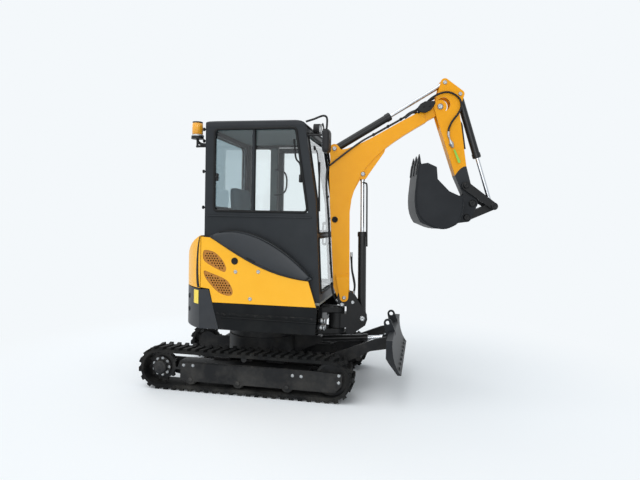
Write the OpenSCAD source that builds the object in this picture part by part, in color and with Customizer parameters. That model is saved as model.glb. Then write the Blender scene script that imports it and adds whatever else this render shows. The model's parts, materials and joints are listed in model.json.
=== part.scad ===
// Mini excavator with an enclosed cab, a swing boom, a front blade and rubber tracks.
// X points forward, Y to the machine's left, Z up; the origin lies on the ground under the slew axis.

/* [Undercarriage] */
// Width over both tracks
overall_w = 1320; // [1260:10:1420]
// Width of one rubber track
shoe_w = 230; // [210:5:250]
// Distance from the sprocket axle to the idler axle
wheel_base = 1560; // [1480:10:1640]
// Radius of the belt's outer face round the wheels
belt_r = 168; // [160:1:176]
// Thickness of the belt
belt_t = 26; // [20:1:30]
// Height of a lug above the belt
lug_h = 22; // [14:1:26]
// Length of a lug along the belt
lug_l = 38; // [30:1:44]
// How far the tip of a lug's chevron leads its ends
lug_lead = 34; // [20:1:40]
// Number of lugs round one track
lug_n = 54; // [44:2:60]
// Width of a track frame over its two side plates
frame_w = 162; // [150:2:176]
// Thickness of a track frame's side plates
frame_t = 12; // [8:1:16]
// Radius of a lower track roller
roller_r = 52; // [44:1:56]
// Number of lower rollers in one track frame
roller_n = 3; // [3:1:5]
// Radius of the slew ring
slew_r = 320; // [280:5:340]

/* [Blade] */
// Height of the blade's hinge above the ground
blade_hinge_z = 250; // [240:1:262]
// Distance of the blade's hinge ahead of the slew axis
blade_hinge_x = 640; // [620:1:660]
// Width of the blade
blade_w = 1320; // [1260:10:1420]
// Height of the blade's curved face
blade_h = 282; // [262:1:300]
// Distance of the blade's flat back ahead of the slew axis
blade_back_x = 1242; // [1230:1:1260]
// Height of the blade's top edge as parked
blade_top_z = 566; // [556:1:576]
// Bore of a tie-down eye on the blade
eye_bore = 36; // [28:1:40]
// Thickness of a tie-down eye
eye_t = 20; // [14:1:26]

/* [House] */
// Height of the deck's underside
deck_z = 556; // [552:1:564]
// Thickness of the deck plate
deck_t = 44; // [36:1:50]
// Radius of the tail about the slew axis
tail_r = 728; // [715:1:740]
// Depth between the tail's skin and the engine
tail_depth = 238; // [200:1:260]
// Distance of the engine's front from the slew axis
engine_front = 120; // [100:1:160]
// Width over the side panels
house_w = 1180; // [1160:2:1196]
// Depth of the counterweight casting
weight_t = 128; // [110:1:140]
// Height of the counterweight's top edge
weight_top = 908; // [890:1:925]
// Thickness of the sheet panels
panel_t = 14; // [10:1:18]
// Gap along panel seams
seam = 5; // [4:0.5:7]
// Width of a hole in the vent grilles
vent_hole = 15; // [11:1:17]
// Pitch of the holes in the vent grilles
vent_pitch = 24; // [22:1:30]

/* [Cab] */
// Width of the cab
cab_w = 1100; // [1080:2:1120]
// Rear face of the cab behind the slew axis
cab_rear = 402; // [396:1:408]
// Height of the roof's underside
roof_z = 2352; // [2330:1:2375]
// Height of the roof's crown over its underside
roof_h = 61; // [45:1:75]
// Thickness of the cab's pillars and walls
wall = 45; // [36:1:52]
// Height of the cab floor
floor_z = 830; // [820:1:840]
// Height of the side window's lower edge
sill_z = 1606; // [1580:1:1640]
// Thickness of the glass
glass_t = 6; // [4:0.5:8]

/* [Boom and arm] */
// Angle of the boom to the left of straight ahead
swing_angle = 9.5; // [0:0.5:20]
// Distance of the swing post's axis ahead of the slew axis
post_x = 745; // [738:1:755]
// Offset of the swing post's axis to the right
post_off = 150; // [120:1:180]
// Half width of the boom's box
boom_hw = 52; // [48:1:54]
// Half width of the arm
arm_hw = 58; // [56:1:60]
// Radius of the boom's and the arm's main pins
pin_r = 28; // [24:1:32]
// Running clearance round a pin
fit = 0.5; // [0.3:0.1:1]
// Side gap between pieces that share a pin
side_gap = 4; // [3:0.5:5]
// Radius of the lift cylinder's barrel
lift_r = 38; // [34:1:42]
// Radius of the arm and bucket cylinders' barrels
crowd_r = 34; // [30:1:38]
// Radius of the chromed rods
rod_r = 18; // [14:1:20]
// Half width of a rod's eye
rod_eye_hw = 20; // [16:1:22]
// Half width of a barrel's eye
barrel_eye_hw = 30; // [26:1:32]
// Width of the bucket
bucket_w = 430; // [380:10:480]
// Thickness of the bucket's plates
bucket_t = 12; // [8:1:16]
// Number of bucket teeth
tooth_n = 3; // [3:1:5]
// Width of a bucket tooth
tooth_w = 62; // [50:1:66]

/* [View] */
// Sub-part to draw, or all of them

/* [Hidden] */
$fn = 48;
eps = 0.3;

// undercarriage
track_y = (overall_w - shoe_w) / 2;
axle_z = belt_r + lug_h;
wheel_r = belt_r - belt_t;
half_base = wheel_base / 2;
loop_len = 2 * wheel_base + 2 * PI * belt_r;
frame_in = track_y - frame_w / 2 + 6;
frame_out = frame_in + frame_w;
roller_z = axle_z - wheel_r + roller_r + eps;
hub_top = deck_z - 116;
function roller_x(i) = wheel_base * (0.85 * (i - (roller_n - 1) / 2) / roller_n - 0.026);

// blade linkage, as points in the X-Z plane
blade_pin_r = 22;
blade_pivot = [blade_hinge_x, blade_hinge_z];
blade_base = [blade_hinge_x - 80, blade_hinge_z + 150];
blade_eye = [blade_back_x - 47, blade_top_z - 111];
blade_arm_y = 300;
blade_arm_t = 30;
clevis_y = barrel_eye_hw + 6;
clevis_t = 16;

// front linkage, as points in the boom's own plane from the post's axis
foot = [63, 839];
lift_base = [234, 650];
lift_eye = [210, 1971];
tip = [891, 2589];
crowd_base = [-54, 2195];
crowd_eye = [928, 2806];
curl_base = [1068, 2706];
rocker_pin = [1137, 1880];
bucket_pin = [1202, 1723];
link_pin = [1393, 1700];
ear_pin = [1154, 1595];
lift_len = 795;
crowd_len = 594;
curl_len = 596;
ear_y = arm_hw + side_gap;
ear_t = 16;
rocker_y = ear_y + ear_t + 6;
rocker_t = 14;

// house
house_hw = house_w / 2;
tail_run = 0.7 * sqrt(tail_r * tail_r - house_hw * house_hw);
deck_front = 600;
deck_top = deck_z + deck_t;
skirt_top = 790;
weight_lean = 98;
weight_front = -240;
hood_seam = -cab_rear - 18;
hood_top = 1386;
body_in = house_hw - panel_t;

// cab
cab_hw = cab_w / 2;
cab_in = cab_hw - wall;
cab_low = floor_z;
step_x = 90;
step_z = 1128;
door_rear = -30;
door_gap = 9;
front_low = 658;
front_mid = 606;
front_mid_z = 1714;
front_top = 500;

// curves
function bez(a, b, c, d, n) = [for (i = [0:n]) let (t = i / n, u = 1 - t)
    u * u * u * a + 3 * u * u * t * b + 3 * u * t * t * c + t * t * t * d];
function reversed(p) = [for (i = [len(p) - 1:-1:0]) p[i]];
function dir(a) = [cos(a), sin(a)];
function heading(a, b) = atan2(b[1] - a[1], b[0] - a[0]);
function arc(c, r, a0, a1, n) = [for (i = [0:n]) c + r * dir(a0 + (a1 - a0) * i / n)];
function quad(a, ra, b, rb) = let (h = heading(a, b), p = acos((ra - rb) / norm(b - a)))
    [a + ra * dir(h + p), b + rb * dir(h + p), b + rb * dir(h - p), a + ra * dir(h - p)];

// smooth closed curve through points
function closed(p, n) = let (m = len(p)) [for (i = [0:m - 1], k = [0:n - 1]) let (t = k / n,
    a = p[(i + m - 1) % m], b = p[i], c = p[(i + 1) % m], d = p[(i + 2) % m])
    b + (c - a) * t / 2 + (2 * a - 5 * b + 4 * c - d) * t * t / 2 + (3 * b - a - 3 * c + d)
        * t * t * t / 2];
function within(p, q) = len([for (i = [0:len(q) - 1]) let (a = q[i], b = q[(i + 1) % len(q)])
    if ((a[1] > p[1]) != (b[1] > p[1]) && p[0] < a[0] + (p[1] - a[1]) * (b[0] - a[0]) / (b[1] - a[1]))
        1]) % 2 == 1;
vent_high = closed([[-392, 1246], [-352, 1256], [-281, 1236], [-216, 1177], [-180, 1111], [-186, 1073],
    [-226, 1077], [-380, 1158]], 4);
vent_low = closed([[-384, 1072], [-322, 1056], [-192, 1009], [-142, 964], [-115, 904], [-126, 866],
    [-183, 863],
    [-262, 897], [-366, 1004]], 4);

// a plate cut to an outline in the X-Z plane, from y0 to y1
module plate(y0, y1) translate([0, y1, 0]) rotate([90, 0, 0]) linear_extrude(y1 - y0) children();
// the same plate on both sides of the middle
module pair(y0, y1) {
    plate(y0, y1) children();
    plate(-y1, -y0) children();
}
// a round pin or bore along Y
module pin(p, r, y0, y1) translate([p[0], y1, p[1]]) rotate([90, 0, 0]) cylinder(r = r, h = y1 - y0);
// outline of a tapered bar with round ends
module bar(a, ra, b, rb) {
    translate(a) circle(ra);
    translate(b) circle(rb);
    polygon(quad(a, ra, b, rb));
}
module both_sides() {
    children();
    mirror([0, 1, 0]) children();
}
module swung() translate([post_x, -post_off, 0]) rotate([0, 0, swing_angle]) children();
// a frame at a, with its Z axis towards b in the X-Z plane
module along(a, b) translate([a[0], 0, a[1]]) rotate([0, 90 - heading(a, b), 0]) children();

// hydraulic cylinder: the barrel from its eye at a, and the rod to its eye at b
module barrel(a, b, length, r, bore) {
    difference() {
        union() {
            pin(a, r + 4, -barrel_eye_hw, barrel_eye_hw);
            along(a, b) translate([0, 0, r]) cylinder(r = r, h = length - r);
            along(a, b) translate([0, 0, length - 46]) cylinder(r = r + 5, h = 40);
        }
        pin(a, bore + fit, -barrel_eye_hw - 1, barrel_eye_hw + 1);
        along(a, b) translate([0, 0, r + 22]) cylinder(r = rod_r + fit, h = length);
    }
}
module rod(a, b, length, eye_r) {
    span = norm(b - a);
    pin(b, eye_r, -rod_eye_hw, rod_eye_hw);
    along(a, b) translate([0, 0, span - length]) cylinder(r = rod_r, h = length - eye_r / 2);
    along(a, b) translate([0, 0, span - eye_r - 26]) cylinder(r = rod_eye_hw + 2.5, h = 30);
}

// UNDERCARRIAGE
module stadium(r) {
    for (x = [-half_base, half_base]) translate([x, axle_z]) circle(r, $fn = 72);
    translate([-half_base, axle_z - r]) square([wheel_base, 2 * r]);
}
// a place on the belt's outer face at distance d from the rear end of the top run
module on_belt(d) {
    turn = PI * belt_r;
    if (d < wheel_base)
        translate([d - half_base, 0, axle_z + belt_r]) children();
    else if (d < wheel_base + turn)
        translate([half_base, 0, axle_z]) rotate([0, (d - wheel_base) / turn * 180, 0])
            translate([0, 0, belt_r]) children();
    else if (d < 2 * wheel_base + turn)
        translate([half_base - (d - wheel_base - turn), 0, axle_z - belt_r]) rotate([0, 180, 0]) children();
    else
        translate([-half_base, 0, axle_z]) rotate([0, 180 + (d - 2 * wheel_base - turn) / turn * 180, 0])
            translate([0, 0, belt_r]) children();
}
module lug() {
    w = shoe_w / 2 - 4;
    x0 = -(lug_l + lug_lead) / 2;
    translate([0, 0, -5]) linear_extrude(lug_h + 5) polygon([[x0, -w], [x0 + lug_l, -w],
        [x0 + lug_l + lug_lead, 0], [x0 + lug_l, w], [x0, w], [x0 + lug_lead, 0]]);
}
module track(y) color("#232426") translate([0, y, 0]) {
    plate(-shoe_w / 2, shoe_w / 2) difference() {
        stadium(belt_r);
        stadium(wheel_r);
    }
    for (i = [0:lug_n - 1]) on_belt((i + 0.5) * loop_len / lug_n) lug();
}
module track_right() track(-track_y);
module track_left() track(track_y);

module roller_lobes() for (i = [0:roller_n - 1]) translate([roller_x(i), roller_z]) circle(roller_r - 8);
module track_frame() color("#1d1f21") {
    box_z = axle_z - 8;
    guard_z = roller_z - 6;
    reach = half_base - wheel_r - 20;
    plate(frame_in + frame_t, frame_out - frame_t)
        polygon([[-reach, box_z], [reach, box_z], [reach - 30, box_z + 78], [-reach + 30, box_z + 78]]);
    plate(frame_out - frame_t, frame_out) {
        polygon([[-reach + 36, guard_z - 8], [half_base + 42, guard_z - 8], [half_base + 98, axle_z - 40],
            [half_base + 102, axle_z + 58], [reach, box_z + 78], [-reach + 44, box_z + 62]]);
        roller_lobes();
    }
    plate(frame_in, frame_in + frame_t) {
        polygon([[-half_base, axle_z - 70], [-reach, guard_z], [reach, guard_z], [half_base, axle_z - 34],
            [half_base, axle_z + 34], [reach, box_z + 78], [40, box_z + 78], [24, axle_z + wheel_r - 8],
            [-24, axle_z + wheel_r - 8], [-40, box_z + 78], [-reach, box_z + 78],
                [-half_base, axle_z + 70]]);
        translate([-half_base, axle_z]) circle(104);
        translate([half_base, axle_z]) circle(36);
        roller_lobes();
    }
}
module track_frame_left() track_frame();
module track_frame_right() mirror([0, 1, 0]) track_frame();

module drive_sprockets() color("#2a2c2e") both_sides() {
    y0 = frame_in + frame_t;
    c = [-half_base, axle_z];
    pin(c, 94, y0, y0 + 46);
    plate(y0 + 46, y0 + 78) translate(c) union() {
        circle(wheel_r - 22);
        for (i = [0:10]) rotate(i * 360 / 11) polygon([[-16, wheel_r - 30], [16, wheel_r - 30],
            [8, wheel_r - 3], [-8, wheel_r - 3]]);
    }
    pin(c, 88, y0 + 78, y0 + 112);
    pin(c, 62, y0 + 112, frame_out - 6);
}
module idlers() color("#242628") both_sides() {
    y0 = frame_in + frame_t;
    c = [half_base, axle_z];
    difference() {
        pin(c, wheel_r - eps, y0 + 22, y0 + 106);
        pin(c, wheel_r - 26, y0 + 90, y0 + 107);
        pin(c, wheel_r - 26, y0 + 21, y0 + 38);
    }
    pin(c, 46, y0 + 90, y0 + 122);
    pin(c, 30, y0, y0 + 38);
}
module rollers() color("#2a2c2e") both_sides() {
    y0 = frame_in + frame_t;
    y1 = frame_out - frame_t;
    for (i = [0:roller_n - 1]) {
        c = [roller_x(i), roller_z];
        pin(c, roller_r, y0 + 10, y0 + 50);
        pin(c, roller_r, y1 - 50, y1 - 10);
        pin(c, roller_r - 12, y0 + 50, y1 - 50);
        pin(c, 20, y0, y0 + 10);
        pin(c, 20, y1 - 10, y1);
    }
    pin([0, axle_z + wheel_r - 26 - eps], 26, y0 + 16, y1 - 24);
    pin([0, axle_z + wheel_r - 26 - eps], 14, y0, y0 + 16);
}
module centre_frame() color("#1d1f21") {
    leg = axle_z - 20;
    for (x = [-250, 250]) translate([x - 80, -frame_in, leg])
        cube([160, 2 * frame_in, 104]);
    translate([0, 0, leg + 30]) cylinder(r = slew_r + 12, h = hub_top - leg - 30, $fn = 72);
    difference() {
        both_sides() {
            for (y = [blade_arm_y - blade_arm_t / 2 - side_gap - clevis_t,
                blade_arm_y + blade_arm_t / 2 + side_gap])
                plate(y, y + clevis_t) {
                    polygon([[300, leg], [blade_pivot[0] + 6, blade_pivot[1] - 44],
                        [blade_pivot[0] - 20, blade_pivot[1] + 40], [300, leg + 104]]);
                    translate(blade_pivot) circle(44);
                }
        }
        both_sides() pin(blade_pivot, blade_pin_r, blade_arm_y - 60, blade_arm_y + 60);
    }
    both_sides() pin(blade_pivot, blade_pin_r, blade_arm_y - blade_arm_t / 2 - side_gap - clevis_t - 4,
        blade_arm_y + blade_arm_t / 2 + side_gap + clevis_t + 4);
    pair(clevis_y, clevis_y + clevis_t) {
        polygon([[300, leg + 80], [blade_base[0] + 6, blade_base[1] - 36], [blade_base[0],
            blade_base[1] + 36],
            [300, hub_top]]);
        translate(blade_base) circle(36);
    }
    pin(blade_base, blade_pin_r - 4, -clevis_y - clevis_t, clevis_y + clevis_t);
}
module slew_ring() color("#3a3c3e") translate([0, 0, hub_top]) difference() {
    cylinder(r = slew_r, h = deck_z - hub_top - eps, $fn = 72);
    translate([0, 0, 24]) cylinder(r = slew_r - 70, h = deck_z, $fn = 72);
}

// BLADE
module blade() color("#2e3032") {
    z1 = blade_top_z;
    z0 = z1 - blade_h;
    x = blade_back_x;
    plate(-blade_w / 2, blade_w / 2) polygon(concat(
        [[x, z1]], bez([x + 52, z1], [x + 46, z1 - 100], [x + 70, z1 - 220], [x + 130, z0], 8),
        [[x + 98, z0], [x + 26, z1 - 190], [x, z1 - 150]]));
    difference() {
        both_sides() plate(250 - eye_t / 2, 250 + eye_t / 2) {
            bar([x - 16, z1 + 72], 36, [x + 12, z1 - 20], 44);
            translate([x - 20, z1 - 80]) square([24, 60]);
        }
        both_sides() pin([x - 16, z1 + 72], eye_bore / 2, 200, 300);
    }
    pair(clevis_y, clevis_y + clevis_t) {
        bar(blade_eye, 34, blade_eye + [40, 0], 44);
        translate([x - 10, blade_eye[1] - 44]) square([14, 88]);
    }
}
module blade_arms() color("#1d1f21") {
    y0 = blade_arm_y - blade_arm_t / 2;
    z = blade_top_z;
    both_sides() difference() {
        plate(y0, y0 + blade_arm_t) {
            translate(blade_pivot) circle(44);
            polygon([blade_pivot + [10, -43], blade_pivot + [150, -20], [blade_back_x - 160, z - 180],
                [blade_back_x, z - 148], [blade_back_x, z - 40], [blade_back_x - 120, z - 70],
                blade_pivot + [-12, 42]]);
        }
        pin(blade_pivot, blade_pin_r + fit, y0 - 1, y0 + blade_arm_t + 1);
    }
    pin(blade_pivot + [330, 60], 26, -y0, y0);
}
module blade_barrel() color("#1a1b1c") barrel(blade_base, blade_eye, 470, 32, blade_pin_r - 4);
module blade_rod() color("#c9ccd0") rod(blade_base, blade_eye, 560, 30);

// HOUSE
module plan(inset) {
    w = house_hw - inset;
    intersection() {
        circle(tail_r - inset, $fn = 96);
        translate([-tail_r, -w]) square([tail_r, 2 * w]);
    }
    translate([-tail_run, -w]) square([deck_front + tail_run, 2 * w]);
}
module house_deck() color("#1f2123") {
    translate([0, 0, deck_z]) linear_extrude(deck_t) plan(weight_t + eps);
    lean = weight_lean * (skirt_top - deck_z) / (weight_top - deck_z);
    pair(body_in - 2, house_hw) polygon([[weight_front + seam, deck_z], [deck_front + 30, deck_z],
        [deck_front + 42, skirt_top], [weight_front + seam - lean, skirt_top]]);
    pair(body_in - 2, house_hw + 6) polygon([[weight_front - 28, 688], [deck_front + 34, 688],
        [deck_front + 36, 702], [weight_front - 28, 702]]);
    // posts that carry the side panels
    both_sides() for (x = [-180, 330]) translate([x, body_in - eps - 14, deck_top - 1])
        cube([40, 14, floor_z - deck_top + 10]);
    for (s = [-1, 1]) translate([weight_front + 30, s > 0 ? house_hw - weight_t - 2 : -body_in, deck_z])
        cube([deck_front - weight_front - 30, body_in - house_hw + weight_t + 2, deck_t]);
}
module counterweight() color("#3b3d40") intersection() {
    translate([0, 0, deck_z]) linear_extrude(weight_top - deck_z) difference() {
        plan(0);
        plan(weight_t);
    }
    plate(-house_hw - 1, house_hw + 1) polygon(concat(
        [[weight_front, deck_z], [weight_front - weight_lean, weight_top]],
        bez([-tail_r + 40, weight_top], [-tail_r + 10, weight_top], [-tail_r, weight_top - 10],
            [-tail_r, weight_top - 40], 5),
        [[-tail_r, deck_z + 120], [-tail_r + 60, deck_z]]));
}
module engine_block() color("#4a4c4e") translate([tail_depth - tail_r, -260, deck_top])
    cube([tail_r - tail_depth - engine_front, 520, 380]);

function hood_curve(i) = bez([-tail_r + i, weight_top + 10], [-tail_r + i, 1200], [-560 + i, 1330],
    [hood_seam, hood_top - i], 10);
module hood_form(i) intersection() {
    translate([0, 0, weight_top]) linear_extrude(hood_top - weight_top) plan(i);
    plate(-house_hw, house_hw) polygon(concat(hood_curve(i), [[hood_seam, weight_top + 10]]));
}
module engine_hood() color("#f2b632") {
    difference() {
        hood_form(0);
        intersection() {
            translate([0, 0, weight_top - 10]) linear_extrude(hood_top - weight_top - 10) plan(panel_t);
            plate(-house_hw, house_hw) polygon(concat(hood_curve(panel_t), [[hood_seam + 1,
                hood_top - panel_t],
                [hood_seam + 1, weight_top], [-tail_r + panel_t, weight_top]]));
        }
    }
    both_sides() difference() {
        plate(251, 281) {
            translate(hood_hinge) circle(9);
            polygon([hood_hinge + [-9, -18], hood_hinge + [0, -18], hood_hinge + [0, 0],
                hood_hinge + [-9, 0]]);
        }
        pin(hood_hinge, 5 + fit, 250, 282);
    }
}
function fender_low(d) = bez([-330, 1374 + d], [-60, 1214 + d], [180, 1050 + d], [562, 1021 + d], 12);
function fender_high() = bez([-330, 1384], [-60, 1530], [330, 1350], [596, 1035], 12);
module side_sheet() polygon(concat([[hood_seam + seam, 1374]], fender_low(-seam), [[634, skirt_top + seam],
    [weight_front - 62, skirt_top + seam], [weight_front - weight_lean + 6, weight_top + 6],
    [hood_seam + seam, weight_top + 16]]));
// holes of a vent, kept clear of its outline
module vent(outline) {
    low = outline[0] - [100, 500];
    for (j = [0:40], i = [0:26]) {
        p = low + [(i + (j % 2) / 2) * vent_pitch, j * vent_pitch * 0.87];
        if (min([for (k = [0:5]) within(p + vent_hole * dir(k * 60), outline) ? 1 : 0]) == 1)
            translate(p) circle(vent_hole / 2, $fn = 6);
    }
}
module side_panel_right() color("#f2b632") difference() {
    plate(-house_hw, -body_in) side_sheet();
    plate(-house_hw - 1, -house_hw + 5) {
        polygon(vent_high);
        polygon(vent_low);
    }
    plate(-house_hw - 1, -body_in + 1) {
        vent(vent_high);
        vent(vent_low);
    }
}
module side_panel_left() color("#f2b632") plate(body_in, house_hw) intersection() {
    side_sheet();
    union() {
        translate([-600, 0]) square([600 + door_rear - 40, 2000]);
        translate([-600, 0]) square([2000, floor_z + 16]);
    }
}
module fender() color("#26282a") plate(-house_hw - 10, -cab_hw - eps)
    polygon(concat(fender_low(0), reversed(fender_high())));

module swing_bracket() color("#1d1f21") translate([post_x, -post_off, 0]) {
    back = deck_front - post_x;
    for (z = [505, 700]) translate([0, 0, z]) linear_extrude(45) difference() {
        union() {
            circle(75);
            polygon([[0, 75], [0, -75], [back, -125], [back, 125]]);
        }
    }
    translate([back, -125, 505]) cube([32, 250, 240]);
    translate([0, 0, 505]) cylinder(r = pin_r + 2, h = 245);
}

// CAB
function front_x(z) = z > front_mid_z ? front_mid + (front_top - front_mid) * (z - front_mid_z)
    / (roof_z - front_mid_z)
    : front_mid + (front_low - front_mid) * (front_mid_z - z) / (front_mid_z - cab_low);
function cab_side(i, z0, z1, low) = [[-cab_rear + i, low], [-cab_rear + i, z1], [front_x(z1) - i, z1],
    [front_mid - i, front_mid_z], [front_x(z0) - i, z0], [step_x, z0], [step_x, low]];
module window_side(i) polygon([[-316 + i, roof_z - 26 - i], [front_x(roof_z - 26)
    - 84 - i, roof_z - 22 - i],
    [front_x(sill_z) - 74 - i, sill_z + i], [-316 + i, sill_z + i]]);
module door_shape(i) polygon([[door_rear + i, floor_z + 30 + i], [door_rear + i, roof_z - 42 - i],
    [front_x(roof_z - 42) - 60 - i, roof_z - 42 - i], [front_mid - 60 - i, front_mid_z],
    [front_x(floor_z + 30) - 60 - i, floor_z + 30 + i]]);
module quarter_shape(i) polygon([[-330 + i, roof_z - 50 - i], [-110 - i, roof_z - 50 - i],
    [-110 - i, sill_z + i],
    [-330 + i, sill_z + i]]);
module front_strip(i0, i1, z0, z1) polygon(concat([[front_x(z0) - i0, z0]],
    z0 < front_mid_z && z1 > front_mid_z ? [[front_mid - i0, front_mid_z]] : [], [[front_x(z1) - i0, z1],
    [front_x(z1) - i1, z1]], z0 < front_mid_z && z1 > front_mid_z ? [[front_mid - i1, front_mid_z]] : [],
    [[front_x(z0) - i1, z0]]));
hinge_y = cab_hw + 16;
hinge_x = door_rear - 14;
hood_hinge = [-cab_rear - 14, hood_top + 11];
hinge_zs = [1200, 2060];
module cab_outline() polygon(cab_side(0, cab_low, roof_z, step_z));
module cab_frame() color("#2b2d30") {
    difference() {
        plate(-cab_in, cab_in) cab_outline();
        plate(-cab_in - 1, cab_in + 1) polygon(cab_side(wall, cab_low - 1, roof_z + 1, cab_low - 2));
        plate(-cab_in + 14, cab_in - 14) {
            front_strip(-2, wall + 2, 900, 1390);
            front_strip(-2, wall + 2, 1424, roof_z - 50);
        }
        translate([-cab_rear - 1, -430, 1640]) cube([wall + 2, 860, roof_z - 60 - 1640]);
    }
    // hinges of the engine hood
    both_sides() {
        pin(hood_hinge, 9, 220, 250);
        pin(hood_hinge, 5, 220, 282);
        plate(220, 250) polygon([hood_hinge + [0, -9], hood_hinge + [15, -9], hood_hinge + [15, 9],
            hood_hinge + [0, 9]]);
    }
}
module cab_side_right() color("#2b2d30") {
    plate(-cab_hw, -cab_in) difference() {
        cab_outline();
        window_side(0);
    }
    plate(-cab_hw, -cab_hw + 12) polygon([[30, sill_z - 4], [52, sill_z - 4], [52, roof_z - 20],
        [30, roof_z - 20]]);
}
module cab_side_left() color("#2b2d30") {
    plate(cab_in, cab_hw) difference() {
        cab_outline();
        door_shape(0);
        quarter_shape(0);
    }
    for (z = hinge_zs) {
        translate([hinge_x - 40, cab_hw - 2, z]) cube([40, 12, 36]);
        translate([hinge_x, hinge_y, z]) cylinder(r = 14, h = 36);
        translate([hinge_x - 14, cab_hw - 2, z]) cube([20, 18, 36]);
        translate([hinge_x, hinge_y, z]) cylinder(r = 8, h = 76);
    }
}
module cab_roof() color("#26282a") intersection() {
    plate(-cab_hw, cab_hw) polygon(concat([[-cab_rear, roof_z], [front_top + 8, roof_z]],
        bez([front_top + 6, roof_z + 10], [front_top - 20, roof_z + 46],
            [front_top - 90, roof_z + roof_h], [220, roof_z + roof_h], 6),
        [[-300, roof_z + roof_h - 8]], bez([-cab_rear + 60, roof_z + roof_h - 10],
            [-cab_rear, roof_z + roof_h - 14],
        [-cab_rear, roof_z + 36], [-cab_rear, roof_z + 20], 4)));
    rotate([90, 0, 90]) translate([0, 0, -600]) linear_extrude(1300) polygon(concat(
        [[-cab_hw, roof_z], [cab_hw, roof_z], [cab_hw, roof_z + 24]],
        bez([cab_hw, roof_z + 34], [cab_hw - 20, roof_z + 54], [cab_hw - 70, roof_z + roof_h],
            [cab_hw - 140, roof_z + roof_h + 1], 5),
        bez([-cab_hw + 140, roof_z + roof_h + 1], [-cab_hw + 70, roof_z + roof_h],
            [-cab_hw + 20, roof_z + 54], [-cab_hw, roof_z + 34], 5),
        [[-cab_hw, roof_z + 24]]));
}
module side_glass() color("#9fb4bb", 0.4) {
    y = -cab_hw + 14;
    plate(y, y + glass_t) intersection() {
        window_side(eps);
        translate([-500, 0]) square([560, 3000]);
    }
    plate(y + glass_t + 4, y + 2 * glass_t + 4) intersection() {
        window_side(eps);
        translate([24, 0]) square([900, 3000]);
    }
    plate(cab_hw - 26, cab_hw - 26 + glass_t) quarter_shape(eps);
}
module windshield() color("#9fb4bb", 0.4) plate(-cab_hw + wall + 14 + eps, cab_hw - wall - 14 - eps) {
    front_strip(18, 18 + glass_t, 900 + eps, 1390 - eps);
    front_strip(18, 18 + glass_t, 1424 + eps, roof_z - 50 - eps);
}
module rear_glass() color("#9fb4bb", 0.4) translate([-cab_rear + 18, -430 + eps, 1640 + eps])
    cube([glass_t, 860 - 2 * eps, roof_z - 60 - 1640 - 2 * eps]);
module door() color("#2b2d30") {
    y1 = cab_hw - 2;
    y0 = cab_hw - wall + 3;
    difference() {
        plate(y0, y1) door_shape(door_gap);
        plate(y0 - 1, y1 + 1) {
            intersection() {
                door_shape(62);
                translate([-200, 1440]) square([1000, 1200]);
            }
            intersection() {
                door_shape(62);
                translate([-200, 700]) square([1000, 690]);
            }
        }
    }
    plate(y1, y1 + 26) difference() {
        bar([480, 1300], 26, [480, 1500], 26);
        bar([480, 1312], 12, [480, 1488], 12);
    }
    for (z = hinge_zs) difference() {
        union() {
            translate([hinge_x, hinge_y, z + 37]) cylinder(r = 14, h = 36);
            translate([hinge_x, cab_hw + 2, z + 37]) cube([52, 10, 36]);
            translate([door_rear + door_gap + 2, y1 - 1, z + 37]) cube([26, 6, 36]);
        }
        translate([hinge_x, hinge_y, z]) cylinder(r = 8 + fit, h = 90);
    }
}
module door_glass() color("#9fb4bb", 0.4) plate(cab_hw - 26, cab_hw - 26 + glass_t) {
    intersection() {
        door_shape(62 + eps);
        translate([-200, 1440 + eps]) square([1000, 1200]);
    }
    intersection() {
        door_shape(62 + eps);
        translate([-200, 700]) square([1000, 690 - eps]);
    }
}
module cab_floor() color("#8f9088") {
    w = cab_hw - 2;
    plate(-w, w) polygon([[-100, floor_z - 24], [front_low - 5, floor_z - 24], [front_low - 5, floor_z],
        [-100, floor_z]]);
    for (y = [-440, 420]) translate([-90, y, deck_top]) cube([560, 20, floor_z - 24 - deck_top]);
}
module seat_base() color("#75776f") plate(-cab_hw + wall + eps, cab_hw - wall - eps)
    polygon([[-cab_rear + wall + eps, 1150], [100, 1150], [100, floor_z], [80, floor_z], [80, 1128],
        [-cab_rear + wall + eps, 1128]]);
module seat_cushion() color("#3f4a56") {
    translate([-150, -130, 1150]) cube([220, 260, 50]);
    plate(-235, 235) polygon(concat([[-190, 1200], [180, 1200]], bez([190, 1230], [200, 1300],
        [160, 1320], [120, 1316], 4),
        [[-190, 1296]]));
}
module seat_back() color("#3f4a56") plate(-220, 220) polygon(concat([[-190 - eps, 1200],
    [-190 - eps, 1296 + 10]],
    bez([-190, 1310], [-200, 1500], [-225, 1680], [-235, 1780], 5),
    bez([-241, 1820], [-258, 1850], [-288, 1840], [-298, 1800], 4), [[-270, 1200]]));
module consoles() color("#55574f") both_sides() {
    translate([-170, 262, 1150]) cube([330, 110, 240]);
    translate([110, 317, 1390]) cylinder(r = 30, h = 20);
    translate([110, 317, 1410]) cylinder(r = 9, h = 110);
    translate([110, 317, 1520]) cylinder(r = 22, h = 100);
}
module travel_levers() color("#2a2c2e") both_sides() {
    translate([380, 40, floor_z]) cube([90, 110, 16]);
    translate([425, 95, floor_z + 16]) cylinder(r = 11, h = 440);
    translate([425, 95, floor_z + 456]) cylinder(r = 19, h = 110);
}
module work_light() color("#2a2c2e") translate([front_x(roof_z - 40), -330, roof_z - 24]) {
    translate([eps, -12, -16]) cube([40, 24, 12]);
    translate([22, 0, -4]) rotate([0, 90, 0]) cylinder(r = 10, h = 14);
    translate([26, 0, 26]) rotate([0, 90, 0]) difference() {
        cylinder(r = 46, h = 54);
        translate([0, 0, 46]) cylinder(r = 40, h = 10);
    }
}
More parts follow.
